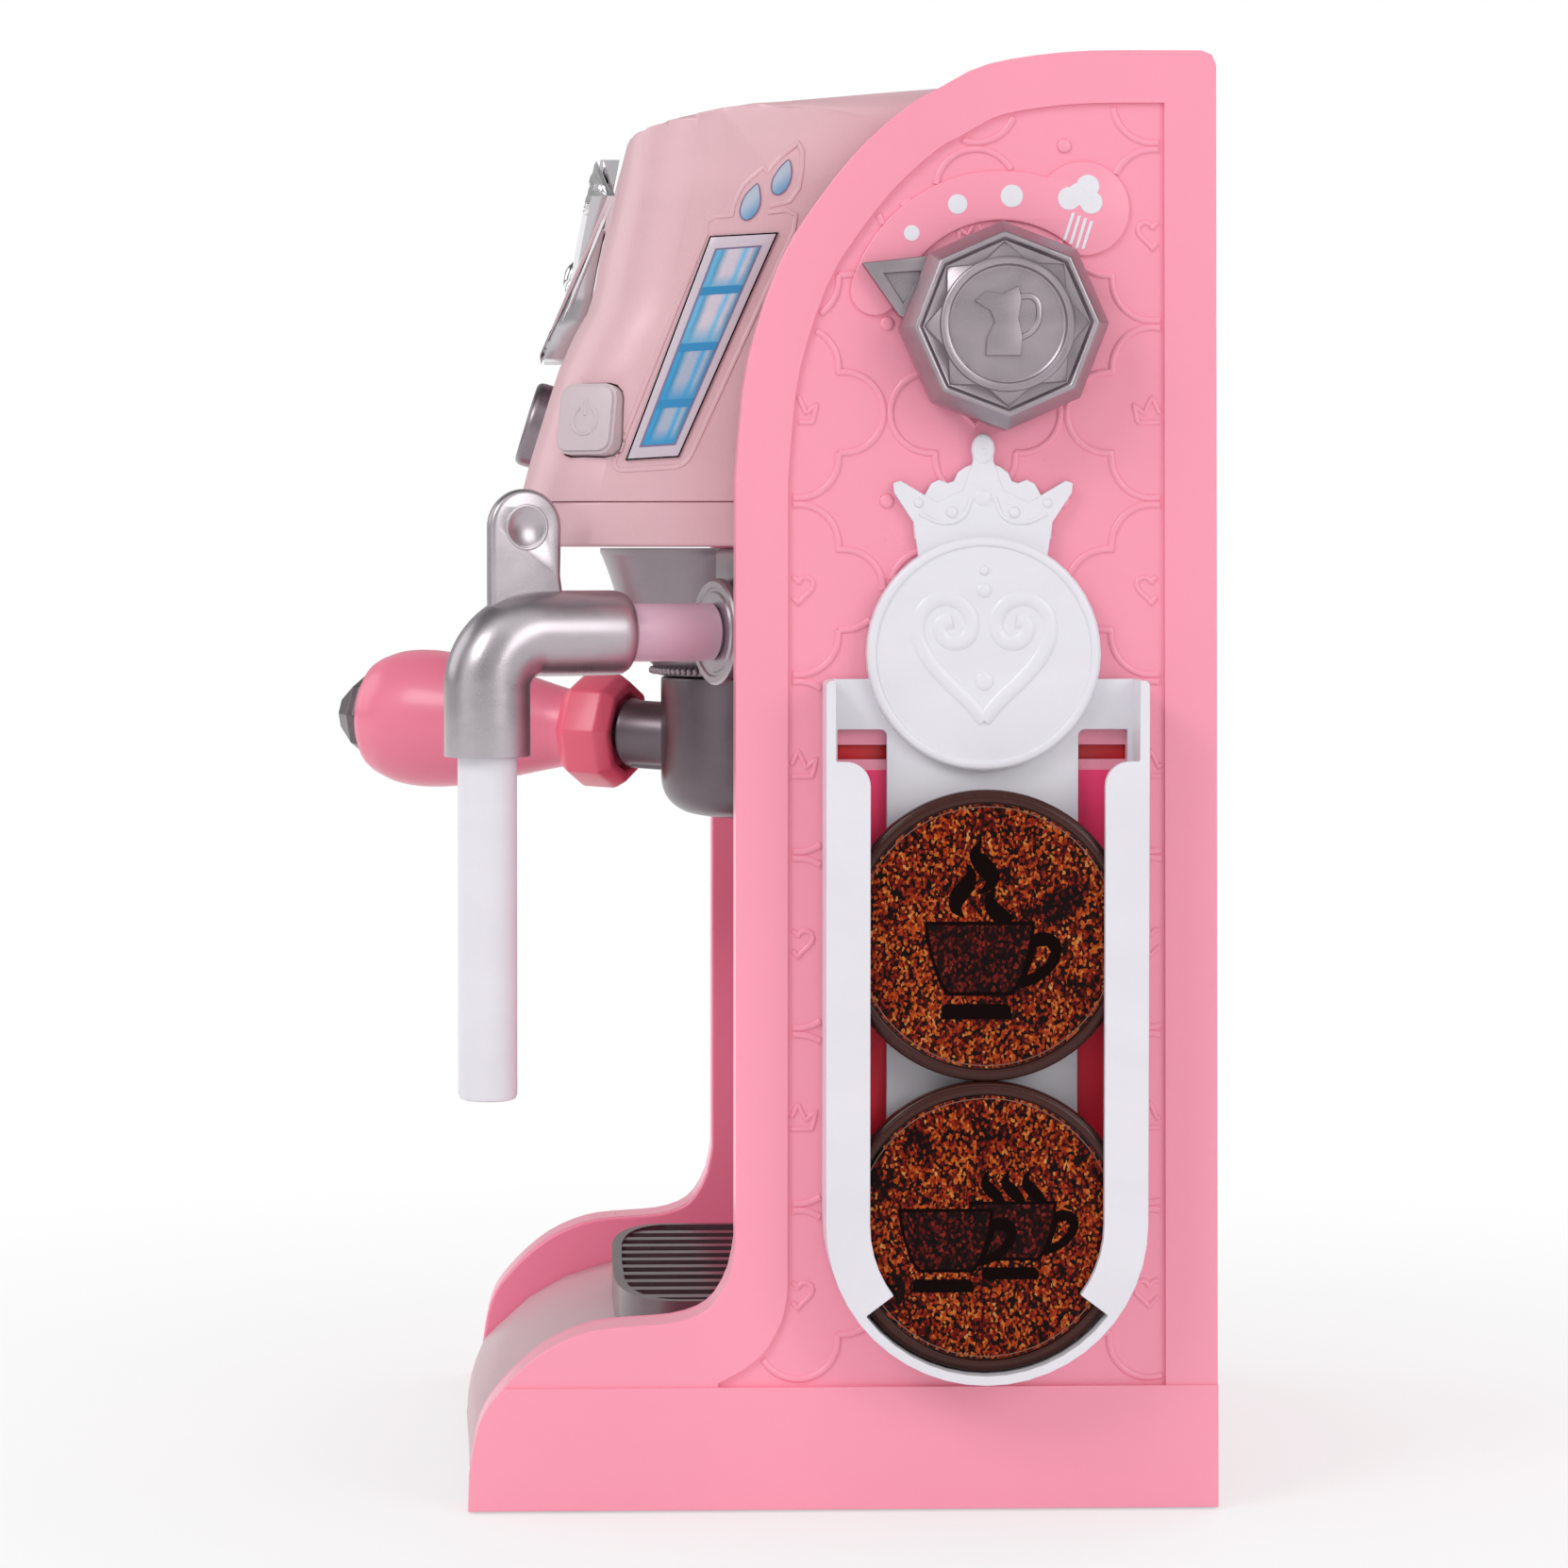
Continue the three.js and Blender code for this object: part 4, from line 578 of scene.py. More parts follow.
def circuit_lacquer(name, hue):
    """Solder mask over copper tracks on a square grid."""
    made = Finish(name, {"IOR": 1.5, "Coat Weight": 0.3})
    tracks = made.node("ShaderNodeTexBrick", {"offset": 0.37, "squash": 0.6}, {
        "Vector": made.stretched(1, 1, 1, turn=(math.pi / 2, 0, 0)), "Scale": 160, "Mortar Size": 0.04}, "Fac")
    blotch = made.noise(0.006)
    base = made.mixed(blotch, shaded(hue, 0.8), shaded(hue, 1.2))
    return made.done(made.mixed(0.5 * tracks, base, shaded(hue, 2.2)), 0.28 + 0.1 * blotch, tracks, 0.00003)


def brushed_zinc(name, hue):
    """Plated steel with fine brushing and dull spots."""
    made = Finish(name, {"Metallic": 1.0})
    lines = made.noise(0.0008, 3.0, made.stretched(0.1, 1, 1))
    return made.done(made.mixed(made.noise(0.004, 3.0), shaded(hue, 0.85), shaded(hue, 1.1)), 0.26 + 0.2 * lines,
                     lines, 0.00002)


def drop_print(name, pale, deep):
    """A printed drop: pale at its tip and deep blue at its foot."""
    made = Finish(name, {"IOR": 1.5, "Coat Weight": 0.4, "Coat Roughness": 0.08, "Roughness": 0.25})
    level = made.axis(made.place, 2) - 0.82 * made.axis(made.place, 1) - 0.2824
    return made.done(made.mixed(made.clipped(level + 0.0006 * made.noise(0.002), -0.0005, 0.0035), deep, pale))


def lit_cell(name, deep, pale, share):
    """A printed window of the gauge: deep at its sides and foot, with a pale gloss up its middle."""
    made = Finish(name, {"IOR": 1.5, "Coat Weight": 0.4, "Coat Roughness": 0.08})
    across, up = (made.axis(made.node("ShaderNodeTexCoord", out="UV"), i) for i in (0, 1))
    gloss = made.ramp(across + 0.06 * made.noise(0.004), (0.0, deep), (0.1, shaded(deep, 1.5)), (0.2, deep),
                      (0.36, pale), (0.6, pale), (0.74, shaded(deep, 1.6)), (0.86, pale), (1.0, deep))
    return made.done(made.mixed(made.clipped(up, 0.05, 0.4, 1.0, share), gloss, shaded(deep, 1.25)),
                     0.22 + 0.1 * made.noise(0.003))


# Side panels

EIGHT_WAYS = [math.tau * i / 8 for i in range(8)]
CROWN = [(-1, -0.7), (1, -0.7), (1.3, 0.55), (0.55, -0.05), (0, 1.1), (-0.55, -0.05), (-1.3, 0.55), (-1, -0.7)]
CROWN_SIZE = 2.9
HEART_SIZE = 3.1
COLUMNS, ROWS = range(-2, 3), range(-1, 8)  # of quatrefoils, from the first one's place
DOT_ROOM = 2.2  # clear round a dot
DOT = ((1.5, 0.35), (1.2, 0.9), (0.6, 1.2))  # radii, and shares of the lines' height
FLAT = 0.02  # how far a flat face's corners may lie off its plane
BAND_FROM, BAND_TO = 42, 164  # degrees of the dial's band round the knob
BAND_SHOULDER = 72.9  # where its outside meets the lobe
LOBE = (16.7, 24.2, 9.7)  # its round lobe: along and up from the knob, and its radius


def flat_outline(piece, x):
    """The longest outline of the faces that lie flat at one X, as (Y, Z) pairs."""
    mesh = bmesh.new()
    mesh.from_mesh(piece.data)
    level = {f for f in mesh.faces if all(abs(v.co.x - x) < FLAT for v in f.verts)}
    ways = {}
    for face in level:
        for loop in face.loops:
            if not all(other in level for other in loop.edge.link_faces):
                ways[loop.vert.index] = (loop.link_loop_next.vert.index, tuple(loop.vert.co.yz))
    mesh.free()
    outlines = []
    while ways:
        here = next(iter(ways))
        outlines.append([])
        while here in ways:
            here, place = ways.pop(here)
            outlines[-1].append(place)
    return max(outlines, key=lambda run: sum(math.dist(a, b) for a, b in zip(run, run[1:] + run[:1])))


def inside(here, outline):
    """Whether a point lies within an outline."""
    x, y = here
    odd = False
    for (ax, ay), (bx, by) in zip(outline, outline[1:] + outline[:1]):
        if (ay > y) != (by > y) and x < ax + (y - ay) / (by - ay) * (bx - ax):
            odd = not odd
    return odd


def beside(here, reach):
    return [(here[0] + reach * math.cos(t), here[1] + reach * math.sin(t)) for t in EIGHT_WAYS]


def kept_runs(run, test):
    """The stretches of a run whose points pass a test, of three points or more."""
    stretches = [[]]
    for point in run:
        if test(point):
            stretches[-1].append(point)
        else:
            stretches.append([])
    return [stretch for stretch in stretches if len(stretch) > 2]


def quatrefoil(y, z, reach, cusp):
    """Four round lobes about a middle, that meet in cusps."""
    out = (reach ** 2 - 2 * cusp ** 2) / (2 * (reach - cusp))
    side = math.degrees(math.atan2(cusp, cusp - out))
    points = []
    for turn in (0, 90, 180, 270):
        lean = math.radians(turn)
        points += arc(y + out * math.cos(lean), z + out * math.sin(lean), reach - out, turn - side, turn + side, 26)
    return points + points[:1]


def heart(steps=24):
    """A heart about 2 wide and 2 high, round its middle."""
    return [(math.sin(t) ** 3,
             (13 * math.cos(t) - 5 * math.cos(2 * t) - 2 * math.cos(3 * t) - math.cos(4 * t)) / 16 + 0.1)
            for t in (math.tau * i / steps for i in range(steps + 1))]


class COFFEE_PG_panels(bpy.types.PropertyGroup):
    """The side panels, their liners and their embossing."""
    edge_round: length("Outer edge", "Rounding of the panels' outer edges", 0.0016)
    field_round: length("Field edge", "Rounding round the sunk field", 0.0004)
    pitch: length("Pitch", "From one embossed quatrefoil to the next", 0.03633)
    reach: length("Reach", "From a quatrefoil's middle to its lobes", 0.0175)
    cusp: length("Cusp", "From a quatrefoil's middle to its cusps, along and up", 0.0082)
    ridge_width: length("Ridge width", "Width of the embossed lines", 0.0015)
    ridge_rise: length("Ridge height", "Height of the embossed lines", 0.0005)
    first_y: length("First column", "Y of a column of quatrefoils", 0.0268)
    first_z: length("First row", "Height of the top full row of quatrefoils", 0.2623)
    band_out: length("Dial outside", "Outer radius of the raised band round the knob", 0.032)
    band_in: length("Dial inside", "Inner radius of the raised band", 0.0218)
    band_rise: length("Dial height", "Height of the raised band", 0.0008)


def outer_edge(edge, side):
    """Whether an edge runs between a panel's outer face and its outside wall."""
    if len(edge.link_faces) != 2 or edge.calc_face_angle(0) < math.radians(35):
        return False
    wall, face = sorted(edge.link_faces, key=lambda face: abs(face.normal.x))
    depths = [abs(v.co.x) for v in wall.verts]
    return face.normal.x * side > 0.9 and abs(wall.normal.x) < 0.1 and max(depths) - min(depths) > 3


def covered(point, dial):
    """Whether the pod rack or the dial's band lies over a point of the right field."""
    y, z = point
    (_, front, foot), (_, rear, _) = low("pod_rack"), high("pod_rack")
    half, centre = (rear - front) / 2, (rear + front) / 2
    if z < foot + half:
        return math.dist(point, (centre, foot + half)) < half
    if z < RACK_TOP:
        return abs(y - centre) < half
    return math.dist(point, MEDALLION[:2]) < MEDALLION[2] or inside(point, dial)


def embossing(name, sizes, field, hidden):
    """The raised lines, dots and small crowns and hearts of one field, drawn flat."""
    width, rise, runs, dots, signs = sizes.ridge_width, sizes.ridge_rise, [], [], []

    def shown(point):
        return all(inside(near, field) for near in beside(point, 0.45 * width)) and not hidden(point)

    for column in COLUMNS:
        for row in ROWS:
            y, z = sizes.first_y + column * sizes.pitch, sizes.first_z - row * sizes.pitch
            runs += kept_runs(dense(quatrefoil(y, z, sizes.reach, sizes.cusp)), shown)
            if (column + row) % 2:
                signs += kept_runs([(y + HEART_SIZE * a, z + HEART_SIZE * b) for a, b in heart()], shown)
            else:
                signs += kept_runs(dense([(y + CROWN_SIZE * a, z + CROWN_SIZE * b) for a, b in CROWN]), shown)
            dot = (y + sizes.pitch / 2, z + sizes.pitch / 2)
            if all(inside(near, field) for near in beside(dot, DOT_ROOM)) and not any(map(hidden, beside(dot, 2))):
                dots.append(dot)
    lines = cord_lines(name, runs, width, rise)
    marks = cord_lines("signs", signs, 0.75 * width, 0.8 * rise)
    profile = [(DOT[0][0], -SUNK)] + [(radius, share * rise) for radius, share in DOT]
    return merged(name, lines, marks, *(bead(*dot, profile, 20) for dot in dots))


def dial_outline(sizes):
    """The raised band over the knob, from its round end at the left to its round lobe at the right."""
    outer, inner = sizes.band_out, sizes.band_in
    _, y, z = middle("steam_knob_shaft")
    lobe_y, lobe_z = y + LOBE[0], z + LOBE[1]
    half = (outer - inner) / 2
    lower = arc(y, z, inner, BAND_FROM, BAND_TO, 30)
    tip = arc(*arc(y, z, inner + half, BAND_TO, BAND_TO, 1)[0], half, BAND_TO - 180, BAND_TO - 360, 12)
    upper = arc(y, z, outer, BAND_TO, BAND_SHOULDER, 28)
    knee, foot = (math.degrees(math.atan2(p[1] - lobe_z, p[0] - lobe_y)) for p in (upper[-1], lower[0]))
    return lower + tip[1:-1] + upper + arc(lobe_y, lobe_z, LOBE[2], knee, foot, 26)[1:-1]


class COFFEE_OT_panels(bpy.types.Operator):
    """Makes both side panels with their sunk fields, embossing and dial, and the liners."""
    bl_idname = "coffee.panels"
    bl_label = "Side panels"

    def execute(self, context):
        sizes = in_mm(context.scene.coffee_panels)
        dial = dial_outline(sizes)
        for side, name in ((1, "right"), (-1, "left")):
            panel = copy_of(f"{name}_outer_panel", f"{name}_panel")
            field = flat_outline(panel, side * FIELD_X)
            bevel_edges(panel, lambda edge: outer_edge(edge, side), sizes.edge_round, 4, clamp=True)
            settle(rounded(panel, sizes.field_round, 2, 40), "hot_pink", f"{name}_outer_panel", flat=True)
            lines = embossing(f"{name}_embossing", sizes, field, lambda point: side > 0 and covered(point, dial))
            settle(lines, "hot_pink", place=on_side(side * FIELD_X, side=side), smooth=50)
            # Painted shade: the liners are a deeper, redder pink than the panels, as the inside of the bay looks in its
            # shade
            settle(copy_of(f"{name}_liner", f"{name}_inner_panel", 0.6), "bay_painted_shade", f"{name}_liner", flat=True)
        band = plate("dial_band", [dial], sizes.band_rise + SUNK, 0.35, foot=-SUNK)
        settle(band, "hot_pink", place=on_side(FIELD_X))
        return {"FINISHED"}


# Pod rack and pods

SCROLL_HEART = [
    (0, -13.6), (3.4, -9.6), (8.0, -5.2), (12.4, 0.6), (13.6, 5.6), (11.4, 10.0), (7.2, 11.2), (3.4, 8.8),
    (2.6, 4.8), (5.2, 2.2), (8.4, 3.4), (8.6, 6.2), (6.6, 6.6),
]
# Half of the crown's lobed backing, as distances from its middle and heights
CROWN_BACKING = [
    (0.3, 216.0), (2.0, 215.4), (3.6, 214.8), (5.2, 213.6), (5.9, 211.9), (7.2, 211.5), (9.0, 212.2),
    (10.6, 211.4), (11.8, 209.2), (14.6, 207.4), (14.0, 200.0), (0.3, 198.0),
]
# The outlines of a cup, its handle with a hole, and its saucer
CUP = {
    "body": [[(-12.8, 3.0), (-12.4, -0.6), (-11.4, -4.8), (-9.9, -9.0), (-8.6, -11.6), (-7.9, -12.1), (4.9, -12.1),
              (5.7, -11.6), (7.2, -9.0), (8.6, -4.8), (9.4, -0.6), (9.8, 3.0)]],
    "handle": [[(8.9, 0.2), (11.0, 0.9), (13.2, 0.5), (14.9, -0.8), (15.4, -2.8), (14.7, -5.4), (12.6, -8.0),
                (9.6, -9.8), (6.4, -10.8), (7.6, -7.4)],
               [(10.2, -2.2), (12.2, -2.0), (13.0, -3.2), (12.0, -5.4), (10.0, -7.2), (8.2, -8.0), (9.2, -5.2)]],
    "saucer": [[(-8.4, -13.8), (4.2, -13.8), (4.9, -14.6), (5.2, -16.4), (4.8, -16.9), (-9.0, -16.9),
                (-9.4, -16.4), (-9.1, -14.6)]],
}
SHADE = (30.5, 60, 152.6)  # the part of the field behind the rack given painted shade: half its width, foot and top
FINIAL = (218.4, 2.4, 3.2)  # the oval over the crown: its height, and half its width and length
SLOT_NEAR, SLOT_FAR, SLOT_HALF = 19.6, 29.9, 3  # the slots' ends from the rack's middle, and half their height
SLOT_UPPER, SLOT_LOWER = 15.1, 60  # from the rack's top down, and from its foot up
POD_DROP = 0.8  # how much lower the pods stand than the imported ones
POD_DEEP = 7.0
POD_RADIUS = 29.7
POD_SIDES = 128
POD_PROFILE = [
    (26.9, 0), (28.1, 0.9), (28.3, 1.2), (28.3, 3.0), (28.5, 3.2), (29.3, 3.3), (POD_RADIUS, 3.7),
    (POD_RADIUS, 5.6), (29.55, 6.1), (29.2, 6.4), (28.95, 6.5), (28.85, 6.85), (28.6, POD_DEEP), (27.6, POD_DEEP),
    (27.3, 6.9), (27.2, 6.6), (27.2, 6.2),
]
STEAM = [
    [(-2.3, 8.4, 0), (0.4, 10.2, 2.0), (0.8, 12.4, 3.5), (-1.1, 14.8, 3.7), (-2.3, 17.0, 2.4), (-1.0, 20.0, 0)],
    [(-4.4, 3.6, 0), (-6.2, 5.6, 2.2), (-5.9, 8.0, 3.3), (-4.0, 10.6, 3.3), (-3.3, 12.8, 2.0), (-4.3, 15.0, 0)],
    [(4.4, 2.4, 3.8), (2.6, 4.2, 3.4), (1.1, 5.9, 3.0), (0.6, 7.9, 1.9), (1.8, 10.0, 0)],
]
SMALL_STEAM = [
    [(x + 2.6, 3.6, 0), (x + 2.0, 5.4, 1.7), (x + 0.4, 7.2, 2.5), (x - 1.0, 8.8, 2.1), (x - 1.1, 10.4, 1.1),
     (x - 0.2, 12.0, 0)]
    for x in (0.9, 5.1, 9.3)
]
# For each pod, the place and size of its cups, and its steam
SIGNS = {
    "upper": ([(0.0, 0.0, 1.0)], STEAM),
    "lower": ([(6.6, 2.9, 0.8), (-7.0, 1.3, 0.86)], SMALL_STEAM),
}


class COFFEE_PG_rack(bpy.types.PropertyGroup):
    """The pod rack, its medallion and the pods."""
    edge_round: length("Edge", "Rounding of the rack's edges", 0.0005)
    lip_round: length("Lip corner", "Rounding of the lips' top corners", 0.005)
    ring_width: length("Ring width", "Width of the medallion's raised ring", 0.0019)
    ring_rise: length("Ring height", "Height of the medallion's ring", 0.00045)
    scroll_width: length("Scroll width", "Width of the medallion's scrolls", 0.0031)
    scroll_rise: length("Scroll height", "Height of the medallion's scrolls", 0.00048)


def round_corners(piece, places, radius, segments):
    """Rounds the edges that run out from the panel at some places of a side drawing."""
    def upright(edge):
        a, b = (v.co for v in edge.verts)
        along = abs(a.x - b.x) > 0.5 and abs(a.y - b.y) + abs(a.z - b.z) < 0.05
        return along and any(abs(a.y - y) < 0.6 and abs(a.z - z) < 0.6 for y, z in places)
    bevel_edges(piece, upright, radius, segments)


def medallion(sizes):
    """A raised ring with a heart of two scrolls in it, and three beads."""
    ring = hoop("medallion_ring", MEDALLION[2] - 0.6 * sizes.ring_width, sizes.ring_width, around=96,
                flatten=2 * sizes.ring_rise / sizes.ring_width)
    halves = [[(side * x, y) for x, y in SCROLL_HEART] for side in (1, -1)]
    scrolls = cord_lines("scrolls", halves, sizes.scroll_width, sizes.scroll_rise, smooth=True)
    beads = [bead(0, y, [(size, -SUNK), (size, 0.1), (0.75 * size, 0.38), (0.3 * size, 0.48)])
             for y, size in ((-5.6, 1.9), (13.0, 1.5), (17.0, 1.0))]
    return merged("rack_medallion", ring, scrolls, *beads)


def crown_relief():
    """Beads and a drop on the crown over the medallion, in the side drawing."""
    tip, y = high("pod_rack")[2], MEDALLION[0]
    parts = [bead(y + dy, tip - down, [(size, -SUNK), (size, 0.1), (0.7 * size, 0.4), (0.3 * size, 0.5)], 20)
             for dy, down, size in ((0, 3.2, 1.1), (0, 12.5, 1.7), (-6.4, 15.5, 1.2), (6.4, 15.5, 1.2),
                                    (-13.2, 13.6, 1.0), (13.2, 13.6, 1.0))]
    swags = [[(y + side * out, tip - down) for out, down in ((2.4, 12.6), (4.4, 16.6), (8.6, 17.6), (13.0, 15.8))]
             for side in (1, -1)]
    return merged("rack_crown_relief", *parts, cord_lines("swags", swags, 0.9, 0.35, smooth=True))


def crown_backing():
    """The lobed plate behind the crown, with an oval finial."""
    lobed = [(MEDALLION[0] + side * a, b) for side in (1, -1) for a, b in CROWN_BACKING[::side]]
    z, wide, tall = FINIAL
    oval = [(MEDALLION[0] + wide * x, z + tall * y) for x, y in arc(0, 0, 1, 0, 351, 39)]
    return merged("crown_backing", plate("backing", [lobed], 2.0, 0.3, foot=-2.3),
                  plate("finial", [oval], 2.6, 0.9, foot=-2.2))


class COFFEE_OT_rack(bpy.types.Operator):
    """Makes the pod rack with its medallion and crown."""
    bl_idname = "coffee.rack"
    bl_label = "Pod rack"

    def execute(self, context):
        sizes = in_mm(context.scene.coffee_rack)
        rack = copy_of("pod_rack", "pod_rack_shell", levels=[120])
        (_, front, foot), (_, rear, _) = low("pod_rack"), high("pod_rack")
        for inset, drop, radius, segments in ((LIP_WIDTH, LIP_DROP, sizes.lip_round, 8),
                                              (WINDOW_INSET, RACK_BAR, 1.3, 4), (0, 0, 1.2, 4)):
            top = RACK_TOP - drop
            round_corners(rack, [(front + inset, top), (rear - inset, top)], radius, segments)
        settle(rounded(rack, sizes.edge_round, 2, 40), "white", "pod_rack", flat=True)
        y = MEDALLION[0]
        half, below, above = SHADE
        # Painted shade: a deep rose plate over the field behind the rack's windows
        shade = plate("rack_shade_plate", [box_outline(y - half, below, y + half, above)], 0.25)
        settle(shade, "rack_painted_shade", place=on_side(FIELD_X - 0.1))
        _, pod_y, pod_z = middle("lower_pod")
        bed = (arc(pod_y, pod_z - POD_DROP, POD_RADIUS + 0.4, 195, 345, 60)
               + arc(pod_y, pod_z - POD_DROP, POD_RADIUS + 1.9, 345, 195, 60))
        settle(plate("pod_seat", [bed], 6.8, 0.2), "white", place=on_side(RACK_PLATE_X - 0.1))
        settle(medallion(sizes), "white", place=on_side(MEDALLION_X, *MEDALLION[:2]), smooth=50)
        settle(crown_backing(), "white", place=on_side(RACK_PLATE_X), smooth=50)
        settle(crown_relief(), "white", place=on_side(RACK_PLATE_X), smooth=50)
        # Painted shade: deep red strips inside the panel's slots, where light through the pink plastic glows red in
        # their shadow
        for near, far, end in ((-SLOT_FAR, -SLOT_NEAR, "front"), (SLOT_NEAR, SLOT_FAR, "rear")):
            for level, z in (("upper", RACK_TOP - SLOT_UPPER), ("lower", foot + SLOT_LOWER)):
                strip = box_outline(y + near, z - SLOT_HALF, y + far, z + SLOT_HALF)
                settle(plate(f"slot_shade_strip_{level}_{end}", [strip], 0.8, 0.2), "slot_painted_shade", place=on_side(79.0))
        return {"FINISHED"}


def wisp(line):
    """A curl of steam about a centre line of (x, y, width), pointed at its ends."""
    run, left, right = through(line, 8), [], []
    for i, here in enumerate(run):
        way = (run[min(i + 1, len(run) - 1)] - run[max(i - 1, 0)]).xy.normalized()
        half = max(here.z, 0.05) / 2
        left.append((here.x - way.y * half, here.y + way.x * half))
        right.append((here.x + way.y * half, here.y - way.x * half))
    return right + left[::-1]


def cup_at(part, x, y, size):
    """The outlines of one part of a cup at a place and size."""
    return [[(x + size * a, y + size * b) for a, b in outline] for outline in CUP[part]]


def pod_sign(name, cups, wisps):
    """The dark printed picture of a pod's label: cups with handles and saucers, under steam."""
    ink, fill = [], []
    for layer, (x, y, size) in enumerate(cups):
        lift = 0.06 * layer
        for part, rise in (("body", 0.13), ("handle", 0.1), ("saucer", 0.1)):
            ink.append(plate(part, cup_at(part, x, y, size), rise + lift, foot=-0.05))
        mid_x, mid_y = x - 1.5 * size, y - 4.6 * size
        inner = [(mid_x + 0.93 * (a - mid_x), mid_y + 0.9 * (b - mid_y)) for a, b in cup_at("body", x, y, size)[0]]
        fill.append(plate("fill", [inner], 0.15 + lift, foot=-0.05))
    ink += [plate("steam", [wisp(steam)], 0.08, foot=-0.05) for steam in wisps]
    return merged(name + "_ink", *ink), merged(name + "_fill", *fill)


class COFFEE_OT_pods(bpy.types.Operator):
    """Makes both pods with their printed labels."""
    bl_idname = "coffee.pods"
    bl_label = "Pods"

    def execute(self, context):
        for name, (cups, wisps) in SIGNS.items():
            pod, label = f"{name}_pod", f"{name}_label"
            _, y, z = middle(pod + "_label")
            back = low(pod)[0]
            place, face = (on_side(x, y, z - POD_DROP) for x in (back, back + POD_DEEP))
            settle(turned(pod + "_shell", POD_PROFILE, POD_SIDES), "pod_brown", pod, body=pod, place=place)
            paper = turned(label, [(26.9, 6.3), (26.9, 6.88), (26.8, 6.95), (26.6, POD_DEEP)], POD_SIDES)
            settle(paper, "grounds", pod + "_label", body=pod, place=place)
            # Painted highlight: a raised ring round the label's edge in a paler brown, for the glint along it; the
            # ring's rise also catches real light
            line = hoop(label + "_line", 26.35, 0.22, POD_DEEP, around=POD_SIDES, across=8, flatten=0.4)
            settle(line, "label_edge_glint", body=pod, place=place)
            for sign, finish in zip(pod_sign(label, cups, wisps), ("soot_ink", "dark_grounds")):
                settle(sign, finish, body=pod, slot="pod_label", place=face)
        return {"FINISHED"}


# Steam knob and the prints round it

KNOB_SEAT_X = 82.5  # the knob's back
KNOB_SIDES = 8
KNOB_TILT = 1.5  # degrees
JUG = [(-6.6, 4.6), (-4.4, 6.6), (-1.2, 6.1), (2.2, 7.6), (2.8, 5.0), (2.2, 1.2), (3.0, -2.6), (2.7, -6.4),
       (-4.4, -6.4), (-4.2, -3.0), (-2.6, 0.4), (-3.4, 2.6)]
JUG_HANDLE = [(2.5, 5.6), (5.4, 5.2), (6.4, 2.4), (5.2, -1.2), (2.7, -2.8)]
JUG_RIM = [(-6.4, 4.7), (-3.6, 4.4), (0, 4.6), (2.4, 6.4)]
POINTER = [(-28.7, 12.9), (-15.2, 14.4), (-9.0, 9.0), (-14.0, -1.0), (-21.2, 2.2)]
POINTER_RECESS = [(-20.3, 4.7), (-16.7, 11.2), (-24.2, 10.7)]
# The printed dots and the cloud's puffs: Y, Z, radius and height
DISCS = [
    (13.6, 262.6, 1.6, 0.1), (23.0, 268.5, 2.0, 0.1), (34.1, 270.2, 2.3, 0.1), (49.7, 272.2, 2.35, 0.11),
    (45.9, 269.7, 2.35, 0.12), (50.4, 268.9, 2.3, 0.13), (47.9, 270.6, 2.3, 0.14),
]
RAYS = [(45.85, 266.8, 261.2), (47.1, 266.2, 260.4), (48.35, 265.7, 259.6), (49.6, 265.1, 259.4)]  # Y, top, foot
RAY_LEAN = 0.9
RAY_HALF = 0.33


class COFFEE_PG_knob(bpy.types.PropertyGroup):
    """The steam knob and its dial."""
    radius: length("Radius", "From the knob's middle to its corners", 0.0213)
    depth: length("Depth", "From the knob's back to its outer ridge", 0.013)
    boss: length("Boss", "Radius of the round boss on its face", 0.0137)
    facets: IntProperty(name="Facets", description="Raised star points round the boss", default=8, min=3)


def knob_head(sizes):
    """The eight-sided skirt with its bevelled rim and sunk ring, star points, boss and milk jug."""
    radius, depth, boss = sizes.radius, sizes.depth, sizes.boss
    skirt = turned("skirt", [
        (0.97 * radius, 0), (radius, 0.7), (radius, 7.4), (0.985 * radius, 7.9), (0.885 * radius, depth - 0.35),
        (0.87 * radius, depth), (0.84 * radius, depth), (0.825 * radius, depth - 0.3), (0.8 * radius, depth - 1.5),
        (0.4 * radius, depth - 1.1),
    ], KNOB_SIDES)
    rounded(skirt, 0.35, 2, 25)
    moved(skirt, Matrix.Rotation(math.radians(KNOB_TILT), 4, "Z"))
    step = 360 / sizes.facets
    stars = []
    for i in range(sizes.facets):
        corners = [arc(0, 0, reach, KNOB_TILT + (i + off) * step, 0, 1)[0]
                   for reach, off in ((boss - 0.4, -0.47), (0.79 * radius, 0), (boss - 0.4, 0.47))]
        star = plate("star", [corners], 2.6, 0.2, foot=depth - 2.4)
        for v in star.data.vertices:
            v.co.z -= 1.5 * max(v.co.xy.length - boss, 0) / (0.79 * radius - boss)
        stars.append(star)
    face = turned("boss", [(boss - inwards, depth + rise) for inwards, rise in (
        (0, 6 - depth), (0, 0.9), (0.15, 1.35), (0.5, 1.6), (1.2, 1.6), (1.6, 1.45), (1.85, 1.0), (1.95, 0.2),
        (2.3, 0), (4, 0))], 96)
    jug = plate("jug", [JUG], 0.9, 0.25, foot=depth - 0.1)
    handle = cord_lines("handle", [JUG_HANDLE], 1.3, 0.5, smooth=True)
    rim = cord_lines("rim", [JUG_RIM], 0.8, 0.75, smooth=True)
    return merged("skirt", skirt, *stars, face, jug, *(shifted(line, 0, 0, depth) for line in (handle, rim)))


def dial_prints():
    """Three growing dots, and a cloud with rays of steam, all flat on the dial's band."""
    parts = [bead(y, z, [(radius, -0.05), (radius, rise)], 40) for y, z, radius, rise in DISCS]
    for y, top, foot in RAYS:
        left, right = y - RAY_HALF, y + RAY_HALF
        parts.append(plate("ray", [[(left + RAY_LEAN, top), (left - RAY_LEAN, foot), (right - RAY_LEAN, foot),
                                    (right + RAY_LEAN, top)]], 0.15, foot=-0.05))
    return merged("dial_prints", *parts)


